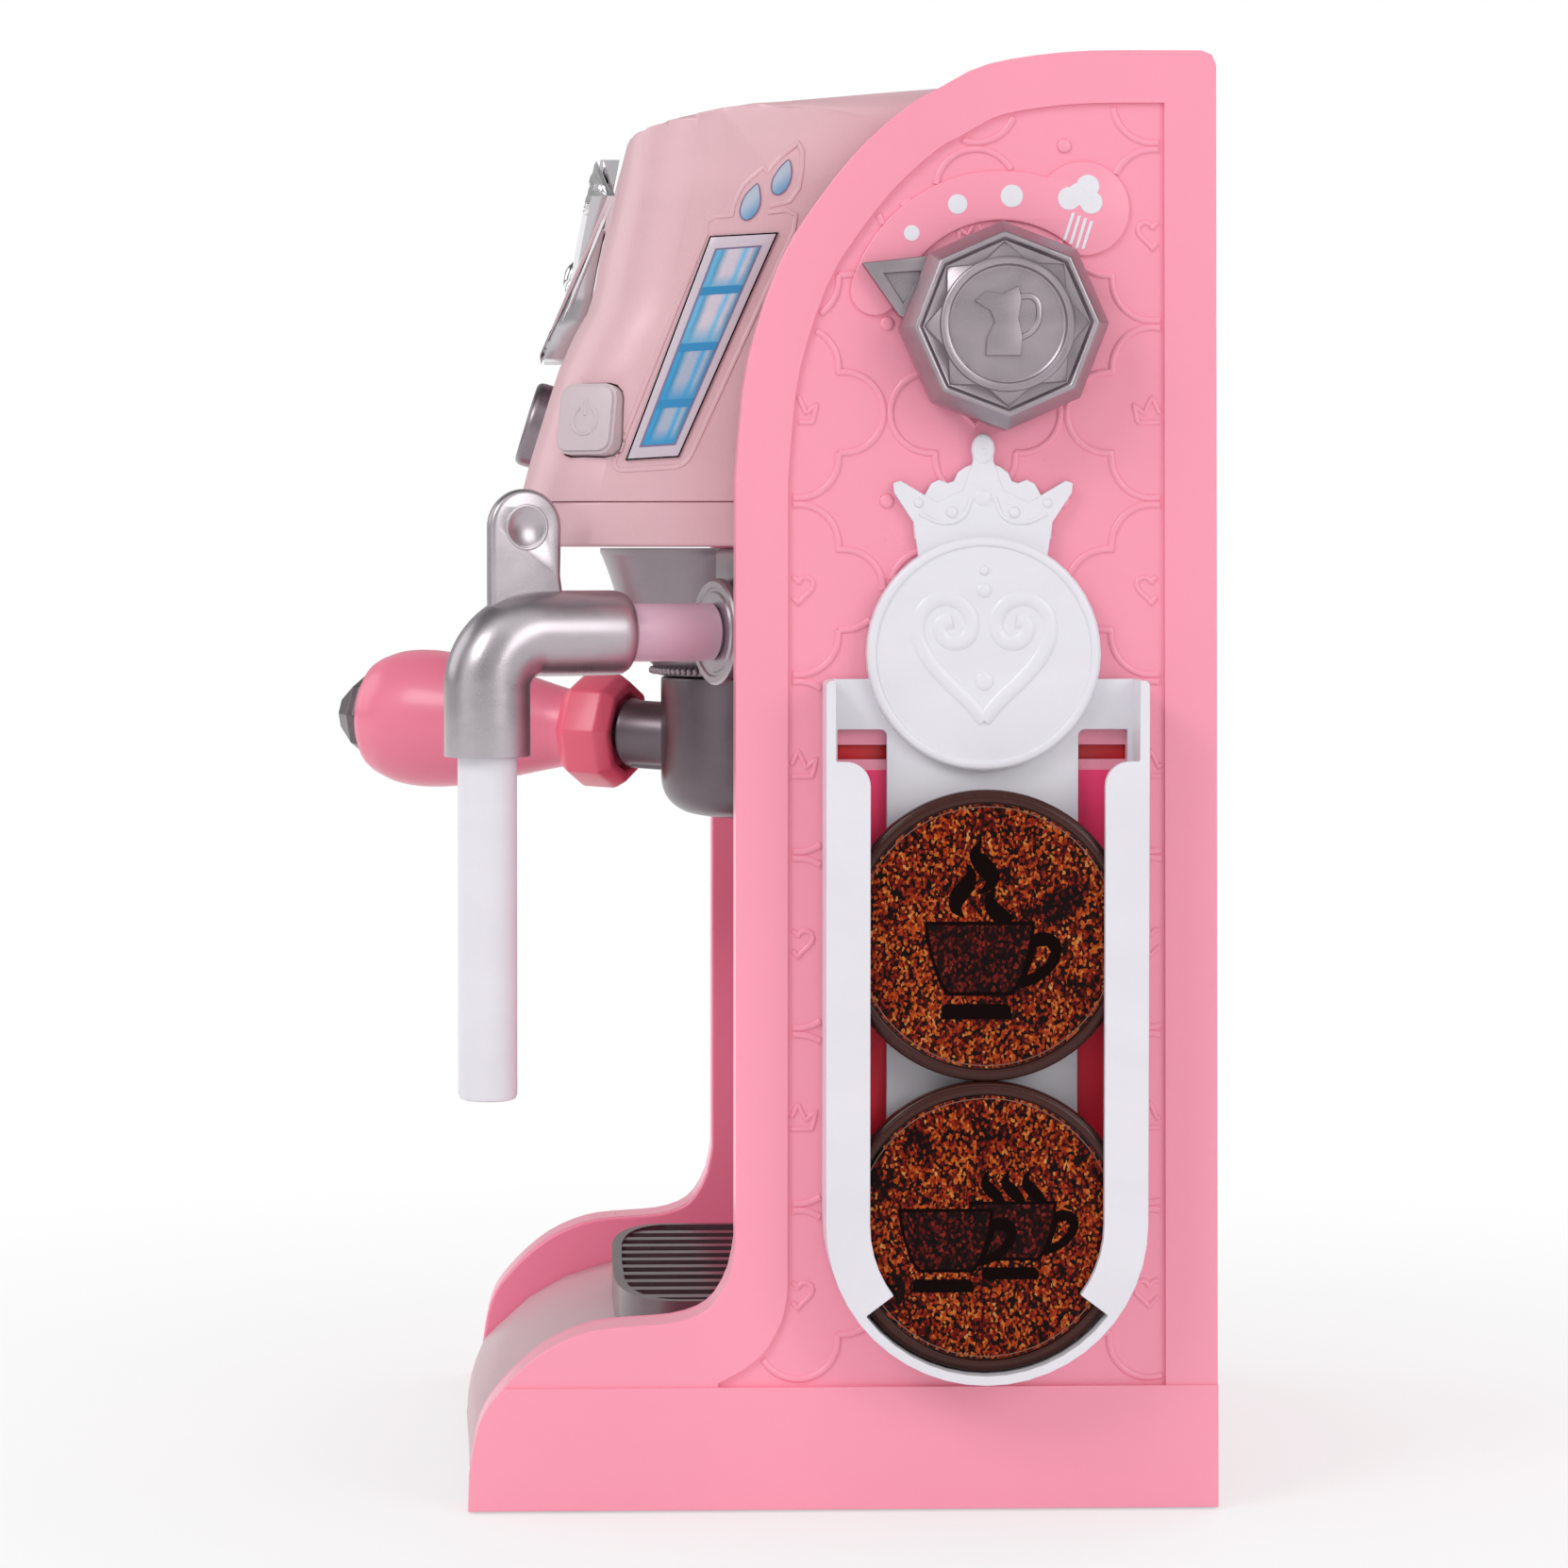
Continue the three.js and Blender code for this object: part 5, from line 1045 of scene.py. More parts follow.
class COFFEE_OT_knob(bpy.types.Operator):
    """Makes the steam knob with its pointer, and the prints on the dial."""
    bl_idname = "coffee.knob"
    bl_label = "Steam knob"

    def execute(self, context):
        _, y, z = middle("steam_knob_shaft")
        knob = merged("steam_knob_head", knob_head(in_mm(context.scene.coffee_knob)),
                      plate("pointer", [POINTER], 2.4, 0.3), plate("border", [POINTER, POINTER_RECESS], 3.6, 0.4))
        settle(knob, "knob_pewter", "steam_knob", body="steam_knob", place=on_side(KNOB_SEAT_X, y, z), smooth=28)
        band_face = FIELD_X + context.scene.coffee_panels.band_rise / MM
        settle(dial_prints(), "white_ink", place=on_side(band_face))
        return {"FINISHED"}


# Head, buttons, badge and water gauges

BREW_AXIS = Vector((0, -0.95632, 0.29232))  # out of the brew button's face
CORNER_AXIS = Vector((0.82728, -0.53723, 0.16422))
BUTTON_SUNK = 1.5  # how much lower the corner buttons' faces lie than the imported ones
BREW_SUNK = 1.9
BADGE_SHARE, BADGE_LEAN = 1.18, 0.256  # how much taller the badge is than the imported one, and the face's slope
# The badge's outline, in shares of its half width and its height, then its domes with their sizes, and its swags
BADGE = [(-0.72, 0), (0.72, 0), (0.8, 0.16), (0.78, 0.3), (1, 0.78), (0.62, 0.52), (0.5, 0.86), (0.22, 0.56),
         (0, 1), (-0.22, 0.56), (-0.5, 0.86), (-0.62, 0.52), (-1, 0.78), (-0.78, 0.3), (-0.8, 0.16)]
DOMES = [(0, 0.9, 1.6), (-0.49, 0.78, 1.4), (0.49, 0.78, 1.4), (-0.93, 0.72, 1.3), (0.93, 0.72, 1.3),
         (0, 0.42, 3.0), (-0.4, 0.36, 1.9), (0.4, 0.36, 1.9), (-0.68, 0.4, 1.4), (0.68, 0.4, 1.4)]
SWAGS = [[(0.0, 0.62), (0.16, 0.5), (0.3, 0.5), (0.46, 0.66)], [(0.52, 0.66), (0.62, 0.48), (0.74, 0.48), (0.88, 0.62)]]
GAUGE = [(-44.3, 216.8), (-33.8, 217.4), (-13.4, 263.5), (-26.9, 262.9)]  # front foot, round to the front top
WINDOW = [(-41.3, 219.6), (-34.6, 220.0), (-16.9, 260.7), (-25.7, 260.2)]
CELLS = [(0.0, 0.209), (0.209, 0.499), (0.499, 0.789), (0.789, 1.0)]
BAR_HALF = 0.021
DROPS = [
    [(-17.1, 274.3), (-16.6, 271.2), (-16.8, 269.1), (-18.1, 267.0), (-19.6, 266.3), (-20.6, 266.9),
     (-20.9, 268.3), (-20.5, 270.0), (-19.7, 271.7), (-18.4, 273.0)],
    [(-10.6, 279.1), (-10.1, 276.4), (-10.6, 274.0), (-11.7, 272.2), (-13.1, 271.5), (-14.1, 272.0),
     (-14.4, 273.3), (-14.0, 275.1), (-12.9, 276.8), (-11.7, 278.2)],
]
# The moulded line up the gauge's front and round the two drops, and the one down its rear side
FLAMES = [(-26.2, 267.2), (-22.6, 267.5), (-22.3, 269.1), (-21.3, 271.7), (-20.2, 273.6), (-18.5, 275.3),
          (-15.9, 277.4), (-15.2, 276.2), (-13.8, 278.1), (-11.7, 280.2), (-8.9, 282.4), (-8.0, 280.6),
          (-8.1, 276.8), (-8.7, 273.0), (-10.6, 270.2), (-14.9, 269.3)]
GAUGE_REAR = [(-15.1, 268.0), (-11.2, 268.4), (-9.3, 267.4), (-9.8, 264.0)]
ROOF_DEEP = 22.0
RIM_DEEP = 0.9
FACE_DEEP = 3.5  # of the corner buttons, what is sunk with their faces


class COFFEE_PG_head(bpy.types.PropertyGroup):
    """The head, its buttons, badge and water gauges."""
    edge_round: length("Edge", "Rounding of the head's edges", 0.0007)
    button_round: length("Button edge", "Rounding of the corner buttons", 0.0011)
    badge_round: length("Badge edge", "Rounding of the chrome badge", 0.0008)
    gauge_rise: length("Gauge height", "How far the gauges stand out", 0.0006)
    outline_width: length("Outline width", "Width of the moulded line round each gauge", 0.0011)
    outline_rise: length("Outline height", "Height of that line", 0.0003)


def face_place(node, axis, sunk):
    """The place of a node's face, sunk along its axis: Z out along it, X level, in the node's middle."""
    across = Vector((0, 0, 1)).cross(axis).normalized()
    turn = Matrix((across, axis.cross(across), axis)).transposed().to_4x4()
    places = [v.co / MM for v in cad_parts[node].data.vertices]
    flat = [turn.inverted() @ p for p in places]
    centre = [(min(p[i] for p in flat) + max(p[i] for p in flat)) / 2 for i in (0, 1)]
    reach = max(p.dot(axis) for p in places)
    return Matrix.Translation(turn @ Vector((*centre, reach)) - sunk * axis) @ turn


def laid_on(piece, node, way):
    """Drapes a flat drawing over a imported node, seen along a way: the right side (0) or the front (1)."""
    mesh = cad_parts[node].data
    target = BVHTree.FromPolygons([v.co / MM for v in mesh.vertices], [tuple(p.vertices) for p in mesh.polygons])
    inner, outer = low("right_gauge")[0], high("right_gauge")[0]
    for v in piece.data.vertices:
        across, up, out = v.co
        start, ray, lift = (((200, across, up), (-1, 0, 0), (out, 0, 0)),
                            ((across, -200, up), (0, 1, 0), (0, -out, 0)))[way]
        place = target.ray_cast(start, ray)[0]
        if place is None or way == 0 and place.x < inner - 5:
            place = target.find_nearest((outer, across, up))[0]
        v.co = place + Vector(lift)
    return piece


def within(corners, s, t):
    """The point of a four-cornered drawing at two shares, across and up."""
    a, b, c, d = (Vector(corner) for corner in corners)
    return a.lerp(b, s).lerp(d.lerp(c, s), t)


def band_of(corners, low_share, high_share):
    """The stretch of a four-cornered drawing between two shares of its height."""
    return [within(corners, *shares) for shares in box_outline(0, low_share, 1, high_share)]


def grown(corners, reach):
    """Four corners moved outwards from their middle, by a reach along each of its two ways."""
    a, b, c, d = (Vector(corner) for corner in corners)
    side, up = (b - a).normalized(), ((d - a).normalized() + (c - b).normalized()).normalized()
    slant = reach / max(abs(side.x * up.y - side.y * up.x), 0.2)
    ways = box_outline(-1, -1, 1, 1)
    return [tuple(corner + slant * (s * side + u * up)) for corner, (s, u) in zip((a, b, c, d), ways)]


def patch(name, corners, foot, top, along=14, rounding=0.0):
    """A thin plate over four corners in the plane, in a grid fine enough to bend; its UV runs over the corners."""
    bpy.ops.mesh.primitive_grid_add(x_subdivisions=6, y_subdivisions=along, size=2, calc_uvs=True)
    piece = named(name)
    for v in piece.data.vertices:
        v.co = (*within(corners, (v.co.x + 1) / 2, (v.co.y + 1) / 2), foot)
    with editing(piece):
        bpy.ops.mesh.extrude_region_move(TRANSFORM_OT_translate={"value": (0, 0, top - foot)})
    outwards(piece)
    return rounded(piece, rounding, 2, 60) if rounding else piece


def gauge_outline():
    """The moulded line round the gauge, which runs on round the drops above it."""
    a, b, _, (y, z) = grown(GAUGE, 2.3)
    foot = soft_corners([(y, z + 1.6), a, b, GAUGE_REAR[-1]], 3.0)[7:21]
    return dense(GAUGE_REAR + foot[::-1] + [(y + 0.6, z - 1.5), (-27.7, 266.2)] + FLAMES, 0.7)


def gauge_parts(sizes):
    """The printed gauge as flat drawings: its dark edge, frame, cells, bars, drops and moulded line."""
    rise, drops = sizes.gauge_rise, [soft_corners(drop, 1.2) for drop in DROPS]
    edge = patch("edge", grown(GAUGE, 0.28), -SUNK, rise - 0.06)
    face = patch("frame", GAUGE, -SUNK, rise, rounding=0.1)
    slate = patch("slate", grown(WINDOW, 0.4), rise - 0.3, rise + 0.07)
    cells = [patch("cell", band_of(WINDOW, foot, top), rise - 0.2, rise + 0.13, 8) for foot, top in CELLS]
    bars = [patch("bar", band_of(WINDOW, foot - BAR_HALF, foot + BAR_HALF), rise - 0.2, rise + 0.19, 4)
            for _, foot in CELLS[:-1]]
    rims = [shifted(cord_lines("rim", [drop], 0.3, 0.3, closed=True), 0, 0, 0.1) for drop in drops]
    return {
        "gauge_edge": ("soot_ink", [edge]),
        "gauge_slate": ("gauge_slate", [slate, *rims]),
        "gauge_frame": ("gauge_grey", [face]),
        "gauge_pale_cells": ("pale_cell", cells[2:]),
        "gauge_deep_cells": ("deep_cell", cells[:2]),
        "gauge_bars": ("gauge_blue", bars),
        "gauge_drops": ("drop_blue", [plate("drop", [drop], 0.6, 0.1, foot=-SUNK) for drop in drops]),
        "gauge_line": ("pale_pink", [cord_lines("line", [gauge_outline()], sizes.outline_width, sizes.outline_rise)]),
    }


def brew_cap():
    """The round brew button with its flange and stem, out of the head along Z, face at Z 0."""
    cap = turned("cap", [
        (11.3, -14.1), (11.3, -12.6), (9.5, -12.5), (9.5, -1.6), (9.35, -0.8), (8.9, -0.2), (8.3, 0), (7.7, 0),
        (7.3, -0.2), (7.1, -0.7), (6.9, -0.8), (5, -0.8),
    ])
    sign = [plate(part, cup_at(part, 0, 0.6, 0.36), 0.7, rounding, foot=-0.9)
            for part, rounding in (("body", 0.15), ("handle", 0.1), ("saucer", 0.1))]
    return merged("brew_button_cap", cap, turned("stem", [(2.5, -16.6), (2.5, -13.9)], 24), *sign)


def crown_beads():
    """Domes on the crown badge's points and along its foot, and a raised band over the foot."""
    foot, (half, _, top) = low("crown_badge")[2], high("crown_badge")
    tall = top - foot

    def lines(name, runs, width, rise, step):
        places = [[(x * half, foot + z * tall) for x, z in run] for run in runs]
        return cord_lines(name, [dense(run, step) for run in places], width, rise)

    domes = [bead(x * half, foot + z * tall, [(size, -0.6), (size, 0.2), (0.92 * size, 0.5 * size),
                                              (0.7 * size, 0.75 * size), (0.35 * size, 0.92 * size)])
             for x, z, size in DOMES]
    bands = [[(0.18 * i, rise) for i in range(-4, 5)] for rise in (0.07, 0.19)]
    swags = [[(side * x, z) for x, z in swag] for swag in SWAGS for side in (1, -1)]
    edge = [(0.97 * x, 0.02 + 0.955 * z) for x, z in BADGE + BADGE[:1]]
    return merged("crown_badge_relief", *domes, lines("band", bands, 1.6, 0.7, 1.0),
                  lines("swags", swags, 1.1, 0.6, 0.8), lines("edge", [edge], 2.0, 1.1, 0.8))


def close_seam(shell, top):
    """Lifts the lower shell's rim to meet the upper one, so that only a soft crease is left between them."""
    for v in shell.data.vertices:
        if v.co.z > top - RIM_DEEP:
            v.co.z += SUNK


def soften_roof(shell, top):
    """Evens out the shell near its roof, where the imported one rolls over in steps."""
    roof = shell.vertex_groups.new(name="roof")
    roof.add([v.index for v in shell.data.vertices if v.co.z > top - ROOF_DEEP], 1.0, "REPLACE")
    apply_modifier(shell, "SMOOTH", factor=0.5, iterations=6, vertex_group="roof")


class COFFEE_OT_head(bpy.types.Operator):
    """Makes the head's shells, its three buttons, the chrome badge and both water gauges."""
    bl_idname = "coffee.head"
    bl_label = "Head"

    def execute(self, context):
        sizes = in_mm(context.scene.coffee_head)
        for node, work in (("head_shell", soften_roof), ("head_underside", close_seam)):
            shell = copy_of(node, node + "_moulding", sizes.edge_round, angle=40)
            work(shell, high(node)[2])
            settle(shell, "pale_pink", node, smooth=40)
        settle(brew_cap(), "group_pewter", "brew_button", body="brew_button",
               place=face_place("brew_button", BREW_AXIS, BREW_SUNK))
        for name, side in (("right", 1), ("left", -1)):
            mirror, cap = Matrix.Diagonal((side, 1, 1, 1)), f"{name}_button"
            button = copy_of(cap, cap + "_cap", sizes.button_round, 4)
            axis = mirror @ CORNER_AXIS
            reach = max(v.co.dot(axis) for v in button.data.vertices)
            for v in button.data.vertices:
                if reach - v.co.dot(axis) < FACE_DEEP:
                    v.co -= BUTTON_SUNK * axis
            settle(button, "button", cap, body=cap)
            ring, stroke = (cord_lines("mark", [run], 0.7, 0.25)
                            for run in (arc(0, -0.4, 3.0, 120, 420, 30), [(0, 0.6), (0, 4.0)]))
            settle(merged(cap + "_mark", ring, stroke), "button", body=cap, smooth=50,
                   place=mirror @ face_place("right_button", CORNER_AXIS, BUTTON_SUNK))
            for key, (finish, parts) in gauge_parts(sizes).items():
                replaced = [f"{name}_gauge"] if key == "gauge_frame" else []
                piece = laid_on(merged(f"{name}_{key}", *parts), "head_shell", 0)
                settle(piece, finish, *replaced, place=mirror)
        centre = middle("crown_badge")
        taller = Matrix.Identity(4)
        taller[1][2], taller[2][2] = BADGE_LEAN * (BADGE_SHARE - 1), BADGE_SHARE
        taller = Matrix.Translation(centre) @ taller @ Matrix.Translation(-centre)
        # Painted shade: the badge's plate is a darker chrome than its relief, for the shade and dark reflections in the
        # hollows between the raised parts
        badge = copy_of("crown_badge", "crown_badge_plate", sizes.badge_round, 4, 30)
        badge.data.transform(taller)
        settle(badge, "painted_shade_chrome", "crown_badge")
        relief = laid_on(crown_beads(), "crown_badge", 1)
        relief.data.transform(taller)
        settle(relief, "chrome", smooth=50)
        return {"FINISHED"}


# Steam wand

WAND_TURN = 23  # degrees that the arm points outwards from straight ahead
ARM_REACH = 51.3  # from the boss to the nozzle's axis
HEAD_FOOT = 198.5
END_SHARES = (0.76, 0.84, 0.92, 0.97, 0.993)  # the elbow's rounded end, as shares of its radius
PEDESTAL = (-10.45, 14.3, 13.3)  # the block over the boss: its middle along the arm, its length and width
TAB_THICK = 3.4
DISH_DEEP = 0.9
LAY_ALONG_X = Matrix.Rotation(math.pi / 2, 4, "Y")  # brings a turned piece's axis from Z to X
STAND_UP = Matrix(((1, 0, 0, 0), (0, 0, 1, 0), (0, 1, 0, 0), (0, 0, 0, 1)))  # a drawing's Y up, its Z to the side


class COFFEE_PG_wand(bpy.types.PropertyGroup):
    """The steam wand: boss, arm, elbow with its thumb tab, and nozzle."""
    elbow: length("Elbow", "Radius of the elbow's pipe", 0.0089)
    bend: length("Bend", "Radius of the elbow's bend", 0.011)
    drop: length("Elbow drop", "From the arm down to the elbow's foot", 0.0253)
    arm: length("Arm", "Radius of the arm", 0.0061)
    tab: length("Tab", "Width of the thumb tab", 0.0159)
    tab_rise: length("Tab height", "From the arm up to the tab's top", 0.0299)
    dimple: length("Dimple", "Radius of the dimple in the tab", 0.0041)


def wand_place():
    """The arm's root: X out along the arm, Z up."""
    turn, (x, y, _) = math.radians(WAND_TURN), middle("steam_nozzle")
    root = (x - ARM_REACH * math.sin(turn), y + ARM_REACH * math.cos(turn), middle("steam_arm")[2])
    return Matrix.Translation(root) @ Matrix.Rotation(turn - math.pi / 2, 4, "Z")


def wand_elbow(sizes):
    """A bent pipe with rounded ends, and a thumb tab with a dimple."""
    bend, half, dish = sizes.bend, sizes.tab / 2, sizes.dimple
    way = [(x, 0, 0) for x in (20, 20.25, 20.8, 21.6, 22.6, 24, 30, 36)]
    way += [(x, 0, z) for x, z in arc(ARM_REACH - bend, -bend, bend, 90, 0, 20)]
    way += [(ARM_REACH, 0, -bend - 5), (ARM_REACH, 0, -sizes.drop)]
    pipe = from_curve("steam_elbow_pipe", [way], False, False, END_SHARES, dimensions="3D", bevel_depth=sizes.elbow,
                      bevel_resolution=14, use_fill_caps=True)
    rounded(pipe, 0.8, 4, 50)
    x, y = ARM_REACH - half - 0.3, sizes.tab_rise - half
    rear = x - half
    outline = [(x + half, -6), *arc(x, y, half, 0, 180, 28), (rear + 0.2, 12), (rear - 0.2, 9), (rear - 1.2, 6)]
    tab = plate("tab", [outline], TAB_THICK, 1.1, foot=-TAB_THICK / 2)
    ball = (dish ** 2 + DISH_DEEP ** 2) / (2 * DISH_DEEP)
    bpy.ops.mesh.primitive_uv_sphere_add(segments=64, ring_count=48, radius=ball)
    tool = shifted(named("dish"), x, y, TAB_THICK / 2 + ball - DISH_DEEP)
    apply_modifier(tab, "BOOLEAN", object=tool, operation="DIFFERENCE", solver="EXACT")
    bpy.data.objects.remove(tool)
    ring = shifted(hoop("ring", dish + 0.35, 0.7, TAB_THICK / 2, around=64, flatten=0.35), x, y)
    return merged("steam_elbow_pipe", pipe, cleaned(moved(merged("tab", tab, ring), STAND_UP), 0.0005))


class COFFEE_OT_wand(bpy.types.Operator):
    """Makes the steam wand and the boss that it swings in."""
    bl_idname = "coffee.wand"
    bl_label = "Steam wand"

    def execute(self, context):
        sizes, place = in_mm(context.scene.coffee_wand), wand_place()
        arm, hole = sizes.arm, 0.78 * sizes.arm
        boss = turned("boss", [
            (hole + 0.4, -11.3), (hole + 0.4, -0.5), (hole + 0.9, 0), (8.3, 0), (8.6, -0.5), (9.2, -0.5), (9.5, 0),
            (10.7, 0), (11.2, -0.4), (11.3, -0.9), (11.3, -1.8), (10.9, -2.2), (9.7, -2.4), (9.5, -2.9),
            (9.5, -21.4), (8.9, -22),
        ], 96)
        tall, (along, long, wide) = HEAD_FOOT - SUNK - place.translation.z, PEDESTAL
        bpy.ops.mesh.primitive_cube_add(size=1)
        pedestal = moved(named("pedestal"), Matrix.Translation((along, 0, tall / 2))
                         @ Matrix.Diagonal((long, wide, tall, 1)))
        block = merged("steam_boss_moulding", moved(boss, LAY_ALONG_X), rounded(pedestal, 1.4, 4))
        settle(block, "pewter", "steam_boss", place=place)
        tube = turned("steam_arm_tube", [(hole, -11), (hole, 0.2), (arm - 0.4, 0.3), (arm, 0.7), (arm, 25)])
        settle(moved(tube, LAY_ALONG_X), "arm", "steam_arm", body="steam_wand", place=place)
        settle(wand_elbow(sizes), "pewter", "steam_elbow", body="steam_wand", place=place)
        (left, _, foot), (right, _, top), (x, y, _) = (side("steam_nozzle") for side in (low, high, middle))
        reach = (right - left) / 2
        nozzle = turned("steam_nozzle_tube", [
            (2.0, foot + 3), (2.2, foot + 0.4), (2.6, foot), (reach - 1.2, foot), (reach - 0.35, foot + 0.3),
            (reach, foot + 1.2), (reach, top),
        ])
        settle(nozzle, "white", "steam_nozzle", body="steam_wand", place=Matrix.Translation((x, y, 0)))
        return {"FINISHED"}


# Group head and portafilter

GROUP_RIM = 170.0
HANDLE_TURN = 26  # degrees that the handle points away from straight ahead
HANDLE_RISE = 2.6
HANDLE_AXIS = 155.0  # the height of the handle's axis at the group's middle
NECK_END = 35.6  # from the group's axis
COLLAR_IN, COLLAR_OUT = 18.5, 20.5  # radii of the bowl's collar, up in the group
GRIP_START = NECK_END + 13.4
GRIP_END = 101.0
# Shares of the bowl's radius, and heights over its foot
BOWL_SIDE = [(1, 11), (0.992, 7.6), (0.95, 4.6), (0.86, 2.3), (0.74, 0.9), (0.56, 0.15)]
# Shares of the grip's largest radius and of its length: a smooth run, then its lip
GRIP_RUN = [(0.56, -0.07), (0.555, 0), (0.575, 0.06), (0.66, 0.17), (0.77, 0.3), (0.9, 0.46), (0.98, 0.62), (1, 0.74),
            (0.965, 0.845), (0.88, 0.92)]
GRIP_LIP = [(0.865, 0.932), (0.8, 0.965), (0.68, 0.99), (0.6, 1)]


class COFFEE_PG_brew(bpy.types.PropertyGroup):
    """The group head, the portafilter's bowl, its handle and its cap."""
    bead: length("Bead", "Radius of the beads round the group's rim", 0.00085)
    beads: IntProperty(name="Beads", description="Number of beads round the rim", default=96, min=12)
    bowl: length("Bowl", "Radius of the bowl", 0.025)
    neck: length("Neck", "Radius of the neck", 0.0073)
    grip: length("Grip", "Largest radius of the handle", 0.0158)
    collar: length("Collar", "Radius of the eight-sided collar", 0.0131)


def group_place(height=0.0):
    """The group's middle at a height."""
    return Matrix.Translation((*middle("lock_ring")[:2], height))


def handle_place():
    """Lays a turned piece's axis along the handle, from the group's middle out."""
    return (group_place(HANDLE_AXIS) @ Matrix.Rotation(math.radians(-90 - HANDLE_TURN), 4, "Z")
            @ Matrix.Rotation(math.radians(-HANDLE_RISE), 4, "Y") @ LAY_ALONG_X)


def ring_of(piece, count):
    """Copies of a piece, evenly round the Z axis, as one mesh."""
    pivot = bpy.data.objects.new("pivot", None)
    pivot.rotation_euler = (0, 0, math.tau / count)
    bpy.context.collection.objects.link(pivot)
    apply_modifier(piece, "ARRAY", use_relative_offset=False, use_object_offset=True, offset_object=pivot,
                   count=count)
    bpy.data.objects.remove(pivot)
    return piece


def group_moulding(sizes):
    """The cone over the bowl, with its socket, rolled rim and string of beads."""
    rim = [(radius, GROUP_RIM + rise) for radius, rise in ((21.2, 0), (25.4, 0), (25.9, 0.3), (26.3, 1.0), (26.6, 1.9))]
    wall = through([(27.0, GROUP_RIM + 2.4), (30.4, 176), (33.8, 184), (36.4, 192), (38.1, 196.4)], 4)
    cone = turned("cone", [(23.4, 188), (23.4, 171.3), (23.0, 171.2), (21.0, 171.2), (20.9, 170.3), *rim, *wall,
                           (38.5, 197.2), (38.5, 198.2)], 120)
    bpy.ops.mesh.primitive_ico_sphere_add(subdivisions=2, radius=sizes.bead)
    ball = shifted(named("ball"), 26.9, 0, GROUP_RIM + 1.1)
    return merged("group_head_moulding", cone, ring_of(ball, sizes.beads))


def bowl_moulding(sizes):
    """The bowl with its collar, its neck and the rod under it."""
    radius, neck, top, foot = sizes.bowl, sizes.neck, GROUP_RIM - 0.3, low("portafilter_bowl")[2]
    bowl = turned("bowl", [
        (COLLAR_IN, foot + 5.5), (COLLAR_IN, top + 5.6), (COLLAR_IN + 0.4, top + 6), (COLLAR_OUT - 0.4, top + 6),
        (COLLAR_OUT, top + 5.6), (COLLAR_OUT, top), (radius - 0.6, top), (radius - 0.1, top - 0.3),
        (radius, top - 0.9),
        *through([(share * radius, foot + rise) for share, rise in BOWL_SIDE], 4), (0.4 * radius, foot),
    ], 120)
    rods = [turned("neck", [(neck, 21), (neck, 33.6), (neck + 0.5, 34.6), (neck + 0.5, 35.3)]),
            turned("tang", [(4.2, 30), (4.2, 60.6)], 32),
            shifted(turned("rod", [(1.5, 23), (1.5, 35.3)], 24), 6.6)]
    return merged("portafilter_bowl_moulding", moved(bowl, group_place()),
                  *(moved(rod, handle_place()) for rod in rods))


def grip_moulding(sizes):
    """The smooth grip with a lip at its end, and the eight-sided collar with its sunk front."""
    run, lip = ([(out * sizes.grip, GRIP_START + along * (GRIP_END - GRIP_START)) for out, along in shares]
                for shares in (GRIP_RUN, GRIP_LIP))
    grip = turned("portafilter_grip", through(run, 5) + lip, 96)
    hub = turned("portafilter_collar", [(share * sizes.collar, NECK_END + along) for share, along in (
        (0.64, 2.2), (0.7, 0), (0.86, 0), (1, 2.9), (1, 10.7), (0.82, 13.4), (0.6, 13.6))], 8)
    return grip, rounded(hub, 0.6, 4, 20)


class COFFEE_OT_brew(bpy.types.Operator):
    """Makes the group head and the portafilter with its handle, cap and spouts."""
    bl_idname = "coffee.brew"
    bl_label = "Group head and portafilter"

    def execute(self, context):
        sizes = in_mm(context.scene.coffee_brew)
        held = {"body": "portafilter", "place": handle_place()}
        settle(group_moulding(sizes), "group_pewter", "group_head", place=group_place())
        settle(bowl_moulding(sizes), "dark_pewter", "portafilter_bowl", body="portafilter")
        grip, hub = grip_moulding(sizes)
        settle(grip, "handle_pink", "portafilter_handle", smooth=40, **held)
        # Painted shade: the collar is a deeper red pink than the grip, for the dark red shade in its sunk front
        settle(hub, "collar_painted_shade", smooth=40, **held)
        root = 0.6 * sizes.grip
        gem = turned("handle_gem", [(root, 101.3), (root, 101.8), (0.97 * root, 103.4), (0.46 * root, 108.1),
                                    (0.4 * root, 108.3)], 8)
        settle(rounded(gem, 0.12, 1, 15), "dark_pewter", "handle_cap", smooth=8, **held)
        settle(copy_of("portafilter_spout", "spout_moulding", 0.35), "pewter", "portafilter_spout", body="portafilter")
        return {"FINISHED"}


# Floor, drip tray, column and rear cover

COVER_INSET = 7  # from the rear cover's edges in to its raised frame
BEZEL = (6, -6.5, 11.5)  # round the power switch: half its width, and its foot and top from the slider's middle
SPEAKER_RINGS = (22.0, 25.0)
SCREW_RING = 5.2


class COFFEE_PG_body(bpy.types.PropertyGroup):
    """The floor, the drip tray, the column and the rear cover."""
    edge_round: length("Edge", "Rounding of the shells' edges", 0.0006)
    slat_round: length("Slat edge", "Rounding of the drip tray's rim and slats", 0.0005)
    rib: length("Rib", "Width of the ribs on the rear cover", 0.0016)


